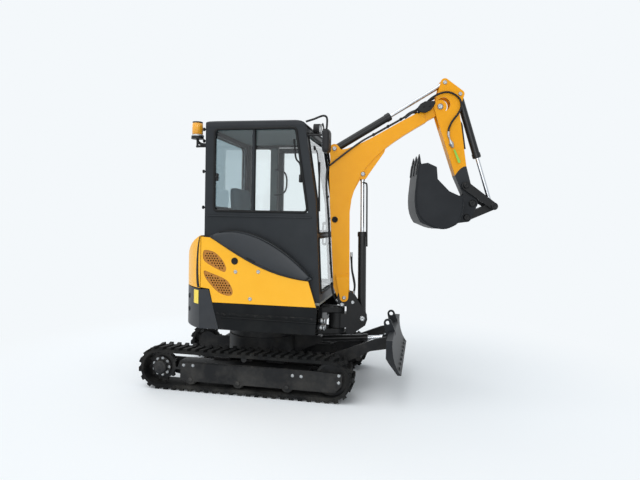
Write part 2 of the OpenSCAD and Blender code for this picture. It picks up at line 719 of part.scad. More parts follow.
module side_mirror() color("#1f2123") {
    y = -cab_hw + 28;
    x = front_x(2261) + eps;
    translate([x, y, 2270]) rotate([0, 90, 0]) cylinder(r = 9, h = 150);
    translate([x + 140, y - 40, 2128]) cube([24, 130, 186]);
}
module beacon() color("#e58a1c") {
    c = [-cab_rear - 122, -cab_hw + 100];
    translate([c[0], c[1], 2290]) cylinder(r = 46, h = 120);
    translate([c[0], c[1], 2256]) cylinder(r = 56, h = 34);
    translate([c[0], c[1], 2180]) cylinder(r = 10, h = 76);
    translate([c[0] - 10, c[1], 2190]) rotate([0, 90, 0]) cylinder(r = 10, h = 132);
}

// FRONT LINKAGE
module swing_post() color("#1d1f21") swung() {
    y0 = boom_hw + side_gap;
    y1 = y0 + 15;
    difference() {
        union() {
            pair(y0, y1) {
                polygon([[92, 505], [140, 499], [263, 586], [281, 640], [276, 690], [150, 880],
                    [63, 905], [5, 860],
                    [5, 775], [92, 755]]);
                translate(lift_base) circle(46);
                translate(foot) circle(62);
            }
            translate([0, 0, 556]) cylinder(r = 72, h = 138);
            translate([36, -y1, 560]) cube([90, 2 * y1, 130]);
            pair(barrel_eye_hw + side_gap, y0 + 1) translate(lift_base) circle(32);
        }
        translate([0, 0, 500]) cylinder(r = pin_r + 2 + fit, h = 300);
    }
    pin(foot, pin_r, -y1 - 8, y1 + 8);
    pin(lift_base, pin_r - 6, -y1 - 8, y1 + 8);
}
module boom() color("#f0a92a") swung() {
    boom_weldment();
    pin(crowd_base, pin_r - 8, -boom_hw - 6, boom_hw + 6);
}
module boom_weldment() difference() {
    union() {
        plate(-boom_hw, boom_hw) {
            translate(foot) circle(58);
            polygon(concat(
                [[foot[0] - 57, foot[1] - 10], [-35, 930], [-84, 1683]],
                bez([-90, 1830], [-100, 2000], [-100, 2080], [-70, 2150], 5),
                bez([-20, 2185], [105, 2186], [300, 2310], [533, 2446], 5), [[732, 2556]],
                bez([775, 2455], [537, 2311], [230, 2130], [140, 1840], 8),
                [[112, 1740], [98, 1623], [112, 930], [foot[0] + 57, foot[1] - 10]]));
        }
        plate(-arm_hw + 18, arm_hw - 18) {
            bar(tip, 54, [745, 2506], 54);
        }
        pair(boom_hw - 16, boom_hw) {
            bar(crowd_base, 44, [-20, 2110], 70);
        }
        pair(rod_eye_hw + side_gap, 44) {
            translate(lift_eye) circle(48);
            polygon([lift_eye + [-20, -44], [120, 1790], [120, 1900], [420, 2240], lift_eye + [190, 200],
                lift_eye + [46, -14]]);
        }
    }
    pin(foot, pin_r + fit, -100, 100);
    pin(tip, pin_r + fit, -100, 100);
    pin(lift_eye, 76, -rod_eye_hw - side_gap, rod_eye_hw + side_gap);
    pin(crowd_base, crowd_r + 26, -crowd_r - 2, crowd_r + 2);
}
module arm() color("#f0a92a") swung() {
    cheek = arm_hw - 14;
    difference() {
        union() {
            pair(cheek, arm_hw) arm_outline();
            plate(-cheek, cheek) intersection() {
                arm_outline();
                polygon([[900, 2490], [1200, 2490], [1400, 1500], [900, 1500]]);
            }
            plate(-cheek, cheek) polygon([[985, 2700], [1018, 2680], [1046, 2560], [1046, 2490],
                [1020, 2490]]);
            pair(rod_eye_hw + side_gap, cheek + 1) translate(crowd_eye) circle(34);
            pair(barrel_eye_hw + side_gap, cheek + 1) translate(curl_base) circle(29);
        }
        pin(tip, 76, -cheek, cheek);
        plate(-arm_hw - 1, arm_hw + 1) difference() {
            translate(tip + [28, 22]) circle(62);
            translate(tip) circle(60);
        }
        pin(bucket_pin, pin_r - 4 + fit, -100, 100);
        pin(curl_base, crowd_r + 14, -crowd_r - 2, crowd_r + 2);
    }
    pin(tip, pin_r, -arm_hw - 8, arm_hw + 8);
    pin(curl_base, pin_r - 8, -arm_hw, arm_hw);
    pair(arm_hw - 1, rocker_y + rocker_t + 4) translate(rocker_pin) circle(pin_r - 8);
}
module arm_outline() {
    translate(tip) circle(56);
    translate(crowd_eye) circle(38);
    translate(curl_base) circle(38);
    translate(bucket_pin) circle(48);
    polygon(concat([[836, 2580], [873, 2462], [1045, 1965], [1150, 1740], [1250, 1726], [1197, 1866],
        [1142, 2061], [1064, 2560], [1106, 2700], [1090, 2736]], [[948, 2838], [894, 2824]]));
}
module boom_barrel() color("#1a1b1c") swung() barrel(lift_base, lift_eye, lift_len, lift_r, pin_r - 6);
module boom_rod() color("#c9ccd0") swung() rod(lift_base, lift_eye, 860, 36);
module arm_barrel() color("#1a1b1c") swung() {
    barrel(crowd_base, crowd_eye, crowd_len, crowd_r, pin_r - 8);
}
module arm_rod() color("#c9ccd0") swung() rod(crowd_base, crowd_eye, 740, 30);
module bucket_barrel() color("#1a1b1c") swung() barrel(curl_base, link_pin, curl_len, crowd_r, pin_r - 8);
module bucket_rod() color("#c9ccd0") swung() rod(curl_base, link_pin, 640, 30);
module rocker() color("#1f2123") swung() difference() {
    pair(rocker_y, rocker_y + rocker_t) bar(rocker_pin, 38, link_pin, 32);
    pin(rocker_pin, pin_r - 8 + fit, -200, 200);
}
module bucket_link() color("#1f2123") swung() difference() {
    union() {
        pair(rod_eye_hw + side_gap, arm_hw - 4) bar(ear_pin, 34, link_pin, 32);
        plate(-rod_eye_hw - side_gap - 1, rod_eye_hw + side_gap + 1)
            bar(ear_pin + 0.18 * (link_pin - ear_pin), 26, ear_pin + 0.32 * (link_pin - ear_pin), 26);
    }
    pin(ear_pin, pin_r - 6 + fit, -100, 100);
}
function bucket_skin() = concat([[1098, 1762], [1090, 1640]], bez([1060, 1556], [1010, 1490],
    [900, 1470], [820, 1500], 6),
    bez([720, 1540], [672, 1600], [656, 1680], [662, 1800], 5), [[684, 2050]]);
function bucket_inner() = concat([[694, 2048]], bez([674, 1800], [669, 1690], [684, 1612], [727, 1552], 5),
    bez([824, 1512], [900, 1483], [1003, 1502], [1049, 1562], 6), [[1077, 1644], [1086, 1766]]);
module bucket() color("#2e3033") swung() {
    hw = bucket_w / 2;
    plate(-hw, hw) polygon(concat(bucket_skin(), bucket_inner()));
    pair(hw - bucket_t, hw) polygon(concat(bucket_skin(), [[768, 2066], [848, 2031], [859, 1925],
        [963, 1821]]));
    difference() {
        union() {
            pair(ear_y, ear_y + ear_t) polygon([[1070, 1790], [1150, 1800], bucket_pin + [20, 44],
                bucket_pin + [48, 0],
                bucket_pin + [30, -50], ear_pin + [40, -14], ear_pin + [10, -40], [1060, 1540],
                    [1080, 1640]]);
            pair(ear_y, ear_y + ear_t) {
                translate(bucket_pin) circle(48);
                translate(ear_pin) circle(42);
            }
        }
    }
    pin(bucket_pin, pin_r - 4, -ear_y - ear_t - 3, ear_y + ear_t + 3);
    pin(ear_pin, pin_r - 6, -ear_y - ear_t - 3, ear_y + ear_t + 3);
}
module bucket_teeth() color("#3a3c3f") swung() {
    spread = bucket_w - 2 * bucket_t - tooth_w - 4;
    for (i = [0:tooth_n - 1]) translate([0, spread * (i / (tooth_n - 1) - 0.5), 0])
        plate(-tooth_w / 2, tooth_w / 2) polygon([[684, 2050 + eps], [694, 2048 + eps], [712, 2060],
            [706, 2100], [697, 2144], [686, 2100]]);
}

track_right();
track_left();
track_frame_right();
track_frame_left();
drive_sprockets();
idlers();
rollers();
centre_frame();
slew_ring();
blade();
blade_arms();
blade_barrel();
blade_rod();
house_deck();
counterweight();
engine_block();
engine_hood();
side_panel_right();
side_panel_left();
fender();
swing_bracket();
cab_frame();
cab_side_right();
cab_side_left();
cab_roof();
side_glass();
windshield();
rear_glass();
door();
door_glass();
cab_floor();
seat_base();
seat_cushion();
seat_back();
consoles();
travel_levers();
work_light();
side_mirror();
beacon();
swing_post();
boom();
arm();
bucket();
bucket_teeth();
rocker();
bucket_link();
boom_barrel();
boom_rod();
arm_barrel();
arm_rod();
bucket_barrel();
bucket_rod();
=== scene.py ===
import json
import bpy
import numpy as np
from mathutils import Matrix


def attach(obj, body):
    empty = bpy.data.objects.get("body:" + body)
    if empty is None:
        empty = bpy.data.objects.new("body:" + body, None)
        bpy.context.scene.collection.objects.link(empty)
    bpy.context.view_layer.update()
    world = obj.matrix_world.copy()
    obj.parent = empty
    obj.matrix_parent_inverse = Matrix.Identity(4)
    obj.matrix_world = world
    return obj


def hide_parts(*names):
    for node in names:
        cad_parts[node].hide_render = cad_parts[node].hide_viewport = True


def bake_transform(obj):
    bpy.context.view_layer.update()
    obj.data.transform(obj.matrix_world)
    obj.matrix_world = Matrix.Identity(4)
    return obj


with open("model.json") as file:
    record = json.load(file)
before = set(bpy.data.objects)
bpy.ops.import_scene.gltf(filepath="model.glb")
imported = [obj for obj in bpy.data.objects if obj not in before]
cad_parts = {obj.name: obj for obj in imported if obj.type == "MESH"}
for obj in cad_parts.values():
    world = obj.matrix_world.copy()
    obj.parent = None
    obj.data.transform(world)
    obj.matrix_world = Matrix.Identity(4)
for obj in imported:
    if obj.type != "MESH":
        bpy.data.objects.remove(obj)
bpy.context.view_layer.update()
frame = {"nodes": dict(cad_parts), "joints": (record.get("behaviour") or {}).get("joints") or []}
scene = bpy.context.scene
scene.view_settings.view_transform = "Standard"
joints = {j["name"]: j for j in frame["joints"]}


# linear light of an sRGB hex colour
def tint(code):
    c = np.array([int(code[i:i + 2], 16) for i in (0, 2, 4)]) / 255
    return tuple(np.where(c <= 0.04045, c / 12.92, ((c + 0.055) / 1.055) ** 2.4))


# vectors brought to length 1
def unit(v):
    v = np.asarray(v, float)
    return v / np.linalg.norm(v, axis=-1, keepdims=True)


# the boom's own plane, from the frame: s forward of the post, y to its left, z up
boomLeft = np.array(joints["boom_lift"]["axis"])
boomAhead = np.cross(boomLeft, (0, 0, 1))
postFoot = np.array(joints["boom_swing"]["pos_m"]) * (1, 1, 0)


def inBoom(s, y, z):
    s, y, z = np.broadcast_arrays(np.asarray(s, float), y, z)
    return postFoot + s[..., None] * boomAhead + y[..., None] * boomLeft + z[..., None] * np.array((0, 0, 1.0))


# quads of a grid of rows by cols points, either way closed on itself or not
def gridFaces(rows, cols, wrapRows=False, wrapCols=True):
    i = np.arange(rows if wrapRows else rows - 1)[:, None]
    j = np.arange(cols if wrapCols else cols - 1)[None, :]
    nextI, nextJ = (i + 1) % rows, (j + 1) % cols
    quads = np.broadcast_arrays(i * cols + j, i * cols + nextJ, nextI * cols + nextJ, nextI * cols + j)
    return np.stack(quads, -1).reshape(-1, 4)


# quads between rings of the same number of points, with both ends closed
def loftFaces(rings, sides):
    last = (rings - 1) * sides
    return gridFaces(rings, sides).tolist() + [list(range(sides))[::-1], list(range(last, last + sides))]


# faces of a closed part, turned round where its volume, the sum of a . (b x c) over fans of each face, is negative
def facingOut(points, faces):
    fans = np.array([(f[0], f[k], f[k + 1]) for f in faces for k in range(1, len(f) - 1)])
    a, b, c = np.moveaxis((points - points.mean(0))[fans], 1, 0)
    return faces if (a * np.cross(b, c)).sum() > 0 else [f[::-1] for f in faces]


# parts are pairs of points and faces; together they make one mesh
def joinParts(parts):
    points, faces, start = [], [], 0
    for p, f in parts:
        points.append(p)
        faces += [[start + k for k in face] for face in facingOut(p, f)]
        start += len(p)
    return np.concatenate(points), faces


# one mesh of closed parts, in its place, with the named finish
def newObject(name, parts, look, smooth=True):
    points, faces = joinParts(parts)
    mesh = bpy.data.meshes.new(name)
    mesh.from_pydata(points.tolist(), [], faces)
    mesh.polygons.foreach_set("use_smooth", np.full(len(mesh.polygons), smooth))
    mesh.update()
    mesh.materials.append(finishes[look])
    obj = bpy.data.objects.new(name, mesh)
    scene.collection.objects.link(obj)
    return obj


# a rigid piece on one body, with its edges bevelled where a width is given
def addPiece(name, parts, look, body, slot, smooth=True, bevel=0):
    obj = newObject(name, parts, look, smooth)
    if bevel:
        edge = obj.modifiers.new("edges", "BEVEL")
        edge.width, edge.segments, edge.limit_method = bevel, 2, "ANGLE"
    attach(obj, body)
    return obj


# Catmull-Rom curve through given points: each span is a cubic in t with slopes half the neighbours' chord
def smoothPath(points, steps=8):
    p = np.asarray(points, float)
    p = np.concatenate([[2 * p[0] - p[1]], p, [2 * p[-1] - p[-2]]])
    a, b, c, d = p[:-3, None], p[1:-2, None], p[2:-1, None], p[3:, None]
    t = np.linspace(0, 1, steps, endpoint=False)[None, :, None]
    spans = b + 0.5 * t * (c - a + t * (2 * a - 5 * b + 4 * c - d + t * (3 * (b - c) + d - a)))
    return np.concatenate([spans.reshape(-1, 3), p[-2:-1]])


# cubic Bezier curve of four points: the sum of (1 - t)^(3 - k) t^k times each, with weights 1, 3, 3, 1
def bezier(points, t):
    a, b, c, d = np.asarray(points, float)
    t = np.asarray(t)[:, None]
    return (1 - t) ** 3 * a + 3 * (1 - t) ** 2 * t * b + 3 * (1 - t) * t ** 2 * c + t ** 3 * d


# tube: centre + r (cos u n + sin u b), with n the normal of the path's own plane made square to its tangent
def tube(path, radius, sides=10, closed=False):
    path = np.asarray(path, float)
    ahead = np.roll(path, -1, 0) - np.roll(path, 1, 0)
    if not closed:
        ahead[0], ahead[-1] = path[1] - path[0], path[-1] - path[-2]
    ahead = unit(ahead)
    flat = np.linalg.svd(path - path.mean(0))[2][2]
    n = unit(flat - (ahead @ flat)[:, None] * ahead)
    b = np.cross(ahead, n)
    u = np.linspace(0, 2 * np.pi, sides, endpoint=False)[None, :, None]
    r = np.broadcast_to(np.asarray(radius, float).reshape(-1, 1, 1), (len(path), 1, 1))
    rings = path[:, None] + r * (np.cos(u) * n[:, None] + np.sin(u) * b[:, None])
    faces = gridFaces(len(path), sides, True).tolist() if closed else loftFaces(len(path), sides)
    return rings.reshape(-1, 3), faces


# turned form: each (radius, height) of the profile, in millimetres, goes round the axis
def turned(profile, centre, axis, sides=24):
    profile, axis = np.asarray(profile, float) / 1000, unit(axis)
    side = unit(np.cross(axis, np.eye(3)[np.argmin(np.abs(axis))]))
    across = np.cross(axis, side)
    u = np.linspace(0, 2 * np.pi, sides, endpoint=False)[None, :, None]
    ring = np.cos(u) * side + np.sin(u) * across
    points = np.asarray(centre) + profile[:, None, 1:] * axis + profile[:, None, :1] * ring
    return points.reshape(-1, 3), loftFaces(len(profile), sides)


# slab: a flat outline in the plane of two directions, with a thickness along their cross product
def slab(outline, origin, across, up, depth):
    outline, across, up = np.asarray(outline, float), unit(across), unit(up)
    face = np.asarray(origin) + outline[:, :1] * across + outline[:, 1:] * up
    return np.concatenate([face, face + np.cross(across, up) * depth]), loftFaces(2, len(outline))


# slab whose outline is in x and z, from y towards the machine's right by its depth
def sideSlab(outline, y, depth):
    return slab(outline, (0, y, 0), (1, 0, 0), (0, 0, 1), depth)


# closed sheet between an inner and an outer grid of the same rows and columns
def closedSheet(inner, outer):
    rows, cols = inner.shape[:2]
    face = gridFaces(rows, cols, False, False)
    count = rows * cols
    border = list(range(cols)) + [r * cols + cols - 1 for r in range(1, rows)]
    border += [(rows - 1) * cols + c for c in range(cols - 2, -1, -1)] + [r * cols for r in range(rows - 2, 0, -1)]
    ring = [[a, b, b + count, a + count] for a, b in zip(border, border[1:] + border[:1])]
    points = np.concatenate([inner.reshape(-1, 3), outer.reshape(-1, 3)])
    return points, face[:, ::-1].tolist() + (face + count).tolist() + ring


# outline of a box with round corners, an arc of 6 points at each
def roundBox(x0, y0, x1, y1, r):
    a = np.linspace(0, np.pi / 2, 6)
    arc = np.stack([np.cos(a), np.sin(a)], 1) * r
    turn = np.array([[0, -1], [1, 0]])
    corners = [((x1 - r, y1 - r), 0), ((x0 + r, y1 - r), 1), ((x0 + r, y0 + r), 2), ((x1 - r, y0 + r), 3)]
    return np.concatenate([arc @ np.linalg.matrix_power(turn, k).T + c for c, k in corners])


# outline with each corner rounded: (1 - t)^2 a + 2 t (1 - t) corner + t^2 b, with a and b where an arc would start
def roundCorners(points, radius, steps=6):
    p = np.asarray(points, float)
    before, after = unit(np.roll(p, 1, 0) - p), unit(np.roll(p, -1, 0) - p)
    half = np.arccos(np.clip((before * after).sum(1), -1, 1)) / 2
    reach = (radius / np.tan(half))[:, None]
    t = np.linspace(0, 1, steps)[None, :, None]
    a, c, b = (p + before * reach)[:, None], p[:, None], (p + after * reach)[:, None]
    return ((1 - t) ** 2 * a + 2 * t * (1 - t) * c + t * t * b).reshape(-1, p.shape[1])


# points in millimetres on an upright plane, of the house at y or of the boom's own at y to its left
def houseSide(points, y):
    p = np.asarray(points, float) / 1000
    return np.stack([p[:, 0], np.full(len(p), y / 1000), p[:, 1]], 1)


def boomSide(points, y):
    p = np.asarray(points, float) / 1000
    return inBoom(p[:, 0], np.asarray(y, float) / 1000, p[:, 1])


# hexagon bolt heads on a wider flange, radius and height in millimetres
def boltHeads(centres, normals, radius, height):
    centres = np.asarray(centres, float)
    normals = np.broadcast_to(unit(normals), centres.shape)
    profile = np.array([(1.5, 0), (1.5, 0.25), (1.0, 0.25), (1.0, 0.9), (0.86, 1.0)]) * (radius, height)
    return [turned(profile, c, n, 6) for c, n in zip(centres, normals)]


# a shader group with its named inputs and outputs
def newGroup(name, inputs, outputs):
    group = bpy.data.node_groups.new(name, "ShaderNodeTree")
    for label, kind, value in inputs:
        socket = group.interface.new_socket(label, in_out="INPUT", socket_type=kind)
        socket.default_value = value
    for label, kind in outputs:
        group.interface.new_socket(label, in_out="OUTPUT", socket_type=kind)
    return group, group.nodes.new("NodeGroupInput"), group.nodes.new("NodeGroupOutput")


# a node with the given values on its sockets, or else on its own properties
def addNode(tree, kind, **values):
    node = tree.nodes.new(kind)
    for key, value in values.items():
        if key in node.inputs:
            node.inputs[key].default_value = value
        else:
            setattr(node, key, value)
    return node


floatKind, colorKind, vectorKind = "NodeSocketFloat", "NodeSocketColor", "NodeSocketVector"


# dust: thicker low down and where a broad noise is high, on top of the given colour
def makeDust():
    g, gin, gout = newGroup("dust", [("Color", colorKind, (1, 1, 1, 1)), ("Amount", floatKind, 0.3),
                                     ("Dust Color", colorKind, (*tint("8d8981"), 1)), ("Top", floatKind, 0.9)],
                            [("Color", colorKind), ("Mask", floatKind)])
    coord = g.nodes.new("ShaderNodeTexCoord")
    split = g.nodes.new("ShaderNodeSeparateXYZ")
    low = addNode(g, "ShaderNodeMapRange", **{"From Min": 0.0, "To Min": 1.0, "To Max": 0.12})
    cloud = addNode(g, "ShaderNodeTexNoise", Scale=5.0, Detail=6.0, Roughness=0.65)
    ramp = addNode(g, "ShaderNodeMapRange", **{"From Min": 0.42, "From Max": 0.72})
    mult = addNode(g, "ShaderNodeMath", operation="MULTIPLY")
    scale = addNode(g, "ShaderNodeMath", operation="MULTIPLY")
    mix = addNode(g, "ShaderNodeMix", data_type="RGBA")
    link = g.links.new
    link(coord.outputs["Object"], split.inputs[0])
    link(split.outputs["Z"], low.inputs["Value"])
    link(gin.outputs["Top"], low.inputs["From Max"])
    link(coord.outputs["Object"], cloud.inputs["Vector"])
    link(cloud.outputs["Fac"], ramp.inputs["Value"])
    link(low.outputs[0], mult.inputs[0])
    link(ramp.outputs[0], mult.inputs[1])
    link(mult.outputs[0], scale.inputs[0])
    link(gin.outputs["Amount"], scale.inputs[1])
    link(scale.outputs[0], mix.inputs["Factor"])
    link(gin.outputs["Color"], mix.inputs["A"])
    link(gin.outputs["Dust Color"], mix.inputs["B"])
    link(mix.outputs["Result"], gout.inputs["Color"])
    link(scale.outputs[0], gout.inputs["Mask"])
    return g


# worn edges: the bevelled normal leaves the flat one near an edge, and a noise breaks the line up
def makeEdges():
    g, gin, gout = newGroup("edges", [("Radius", floatKind, 0.006), ("Wear", floatKind, 0.5)],
                            [("Normal", vectorKind), ("Mask", floatKind)])
    bevel = addNode(g, "ShaderNodeBevel", samples=4)
    flat = g.nodes.new("ShaderNodeNewGeometry")
    dot = addNode(g, "ShaderNodeVectorMath", operation="DOT_PRODUCT")
    away = addNode(g, "ShaderNodeMapRange", **{"From Min": 0.99, "From Max": 0.78})
    coord = g.nodes.new("ShaderNodeTexCoord")
    chips = addNode(g, "ShaderNodeTexNoise", Scale=38.0, Detail=5.0, Roughness=0.7)
    broken = addNode(g, "ShaderNodeMapRange", **{"From Min": 0.5, "From Max": 0.66})
    both = addNode(g, "ShaderNodeMath", operation="MULTIPLY")
    amount = addNode(g, "ShaderNodeMath", operation="MULTIPLY")
    link = g.links.new
    link(gin.outputs["Radius"], bevel.inputs["Radius"])
    link(bevel.outputs[0], dot.inputs[0])
    link(flat.outputs["Normal"], dot.inputs[1])
    link(dot.outputs["Value"], away.inputs["Value"])
    link(coord.outputs["Object"], chips.inputs["Vector"])
    link(chips.outputs["Fac"], broken.inputs["Value"])
    link(away.outputs[0], both.inputs[0])
    link(broken.outputs[0], both.inputs[1])
    link(both.outputs[0], amount.inputs[0])
    link(gin.outputs["Wear"], amount.inputs[1])
    link(bevel.outputs[0], gout.inputs["Normal"])
    link(amount.outputs[0], gout.inputs["Mask"])
    return g


# grain: two noises, fine and broad, for the skin of paint, castings and rubber
def makeGrain():
    g, gin, gout = newGroup("grain", [("Scale", floatKind, 300.0), ("Broad", floatKind, 6.0)],
                            [("Height", floatKind), ("Tone", floatKind)])
    coord = g.nodes.new("ShaderNodeTexCoord")
    fine = addNode(g, "ShaderNodeTexNoise", Detail=3.0, Roughness=0.6)
    broad = addNode(g, "ShaderNodeTexNoise", Detail=4.0, Roughness=0.55)
    tone = addNode(g, "ShaderNodeMapRange", **{"From Min": 0.3, "From Max": 0.7})
    link = g.links.new
    for noise, name in ((fine, "Scale"), (broad, "Broad")):
        link(coord.outputs["Object"], noise.inputs["Vector"])
        link(gin.outputs[name], noise.inputs["Scale"])
    link(fine.outputs["Fac"], gout.inputs["Height"])
    link(broad.outputs["Fac"], tone.inputs["Value"])
    link(tone.outputs[0], gout.inputs["Tone"])
    return g


groups = {"dust": makeDust(), "edges": makeEdges(), "grain": makeGrain()}


# one of the groups, placed in a material with its own values
def useGroup(tree, name, **values):
    node = tree.nodes.new("ShaderNodeGroup")
    node.node_tree = groups[name]
    for key, value in values.items():
        node.inputs[key].default_value = value
    return node


# zones: masks of 1 where a second colour goes, worked out from the place on the piece; the mask deeper than y is
# painted shade in recesses behind a panel's face
def shadeDeeperThan(y):
    def mask(tree):
        split = tree.nodes.new("ShaderNodeSeparateXYZ")
        deep = addNode(tree, "ShaderNodeMath", operation="GREATER_THAN")
        deep.inputs[1].default_value = y
        tree.links.new(tree.nodes.new("ShaderNodeTexCoord").outputs["Object"], split.inputs[0])
        tree.links.new(split.outputs["Y"], deep.inputs[0])
        return deep.outputs[0]
    return mask


# below the line z = top - bend (lead - s)^2, with s the distance ahead of the post in the boom's plane
def underCurve(top, bend, lead):
    def mask(tree):
        coord = tree.nodes.new("ShaderNodeTexCoord")
        split = tree.nodes.new("ShaderNodeSeparateXYZ")
        ahead = addNode(tree, "ShaderNodeVectorMath", operation="DOT_PRODUCT")
        ahead.inputs[1].default_value = boomAhead.tolist()
        back = addNode(tree, "ShaderNodeMath", operation="SUBTRACT")
        back.inputs[0].default_value = lead + float(postFoot @ boomAhead)
        square = addNode(tree, "ShaderNodeMath", operation="MULTIPLY")
        rise = addNode(tree, "ShaderNodeMath", operation="MULTIPLY_ADD")
        rise.inputs[1].default_value = bend
        low = addNode(tree, "ShaderNodeMath", operation="LESS_THAN")
        low.inputs[1].default_value = top
        link = tree.links.new
        link(coord.outputs["Object"], split.inputs[0])
        link(coord.outputs["Object"], ahead.inputs[0])
        link(ahead.outputs["Value"], back.inputs[1])
        link(back.outputs[0], square.inputs[0])
        link(back.outputs[0], square.inputs[1])
        link(square.outputs[0], rise.inputs[0])
        link(split.outputs["Z"], rise.inputs[2])
        link(rise.outputs[0], low.inputs[0])
        return low.outputs[0]
    return mask


# a new material, its node tree and its skin shader
def newMaterial(name):
    mat = bpy.data.materials.new(name)
    mat.use_nodes = True
    return mat, mat.node_tree, mat.node_tree.nodes["Principled BSDF"]


# what all finishes share
paint = {"coatRough": 0.08, "dustRough": 0.35, "bumpDepth": 0.001}


# one finish: base colour varied by the grain, dust over it, worn edges on top
def finish(name, tones, rough=0.4, metal=0.0, grain=300.0, bump=0.1, dust=0.2, dustTop=0.9,
           edge=0.004, wear=0.0, wearColor="b9b4aa", coat=0.0, gloss=0.5, zone=None, zoneColor="1b1c1e"):
    mat, tree, skin = newMaterial(name)
    link = tree.links.new
    skin.inputs["Metallic"].default_value = metal
    skin.inputs["Coat Weight"].default_value = coat
    skin.inputs["Coat Roughness"].default_value = paint["coatRough"]
    skin.inputs["Specular IOR Level"].default_value = gloss
    grainNode = useGroup(tree, "grain", Scale=grain)
    dustNode = useGroup(tree, "dust", Amount=dust, Top=dustTop)
    edges = useGroup(tree, "edges", Radius=edge, Wear=wear)
    varied = addNode(tree, "ShaderNodeMix", data_type="RGBA")
    varied.inputs["A"].default_value, varied.inputs["B"].default_value = ((*tint(tone), 1) for tone in tones)
    worn = addNode(tree, "ShaderNodeMix", data_type="RGBA")
    worn.inputs["B"].default_value = (*tint(wearColor), 1)
    dull = addNode(tree, "ShaderNodeMapRange", **{"To Min": rough, "To Max": min(1.0, rough + paint["dustRough"])})
    height = addNode(tree, "ShaderNodeBump", Strength=bump, Distance=paint["bumpDepth"])
    link(grainNode.outputs["Tone"], varied.inputs["Factor"])
    if zone:
        parted = addNode(tree, "ShaderNodeMix", data_type="RGBA")
        parted.inputs["B"].default_value = (*tint(zoneColor), 1)
        link(zone(tree), parted.inputs["Factor"])
        link(varied.outputs["Result"], parted.inputs["A"])
        link(parted.outputs["Result"], dustNode.inputs["Color"])
    else:
        link(varied.outputs["Result"], dustNode.inputs["Color"])
    link(dustNode.outputs["Color"], worn.inputs["A"])
    link(edges.outputs["Mask"], worn.inputs["Factor"])
    link(worn.outputs["Result"], skin.inputs["Base Color"])
    link(dustNode.outputs["Mask"], dull.inputs["Value"])
    link(dull.outputs[0], skin.inputs["Roughness"])
    link(grainNode.outputs["Height"], height.inputs["Height"])
    link(edges.outputs["Normal"], height.inputs["Normal"])
    link(height.outputs["Normal"], skin.inputs["Normal"])
    return mat


# window glass: clear for lamps and for light that has bounced, so the cab isn't dark
def glassFinish(name, color):
    mat, tree, skin = newMaterial(name)
    skin.inputs["Base Color"].default_value = (*tint(color), 1)
    skin.inputs["Roughness"].default_value = 0.0
    skin.inputs["IOR"].default_value = 1.45
    skin.inputs["Transmission Weight"].default_value = 1.0
    clear = addNode(tree, "ShaderNodeBsdfTransparent", Color=(*tint(color), 1))
    path = tree.nodes.new("ShaderNodeLightPath")
    either = addNode(tree, "ShaderNodeMath", operation="MAXIMUM")
    mix = tree.nodes.new("ShaderNodeMixShader")
    out = tree.nodes["Material Output"]
    tree.links.new(path.outputs["Is Shadow Ray"], either.inputs[0])
    tree.links.new(path.outputs["Is Diffuse Ray"], either.inputs[1])
    tree.links.new(either.outputs[0], mix.inputs["Fac"])
    tree.links.new(skin.outputs[0], mix.inputs[1])
    tree.links.new(clear.outputs[0], mix.inputs[2])
    tree.links.new(mix.outputs[0], out.inputs["Surface"])
    return mat


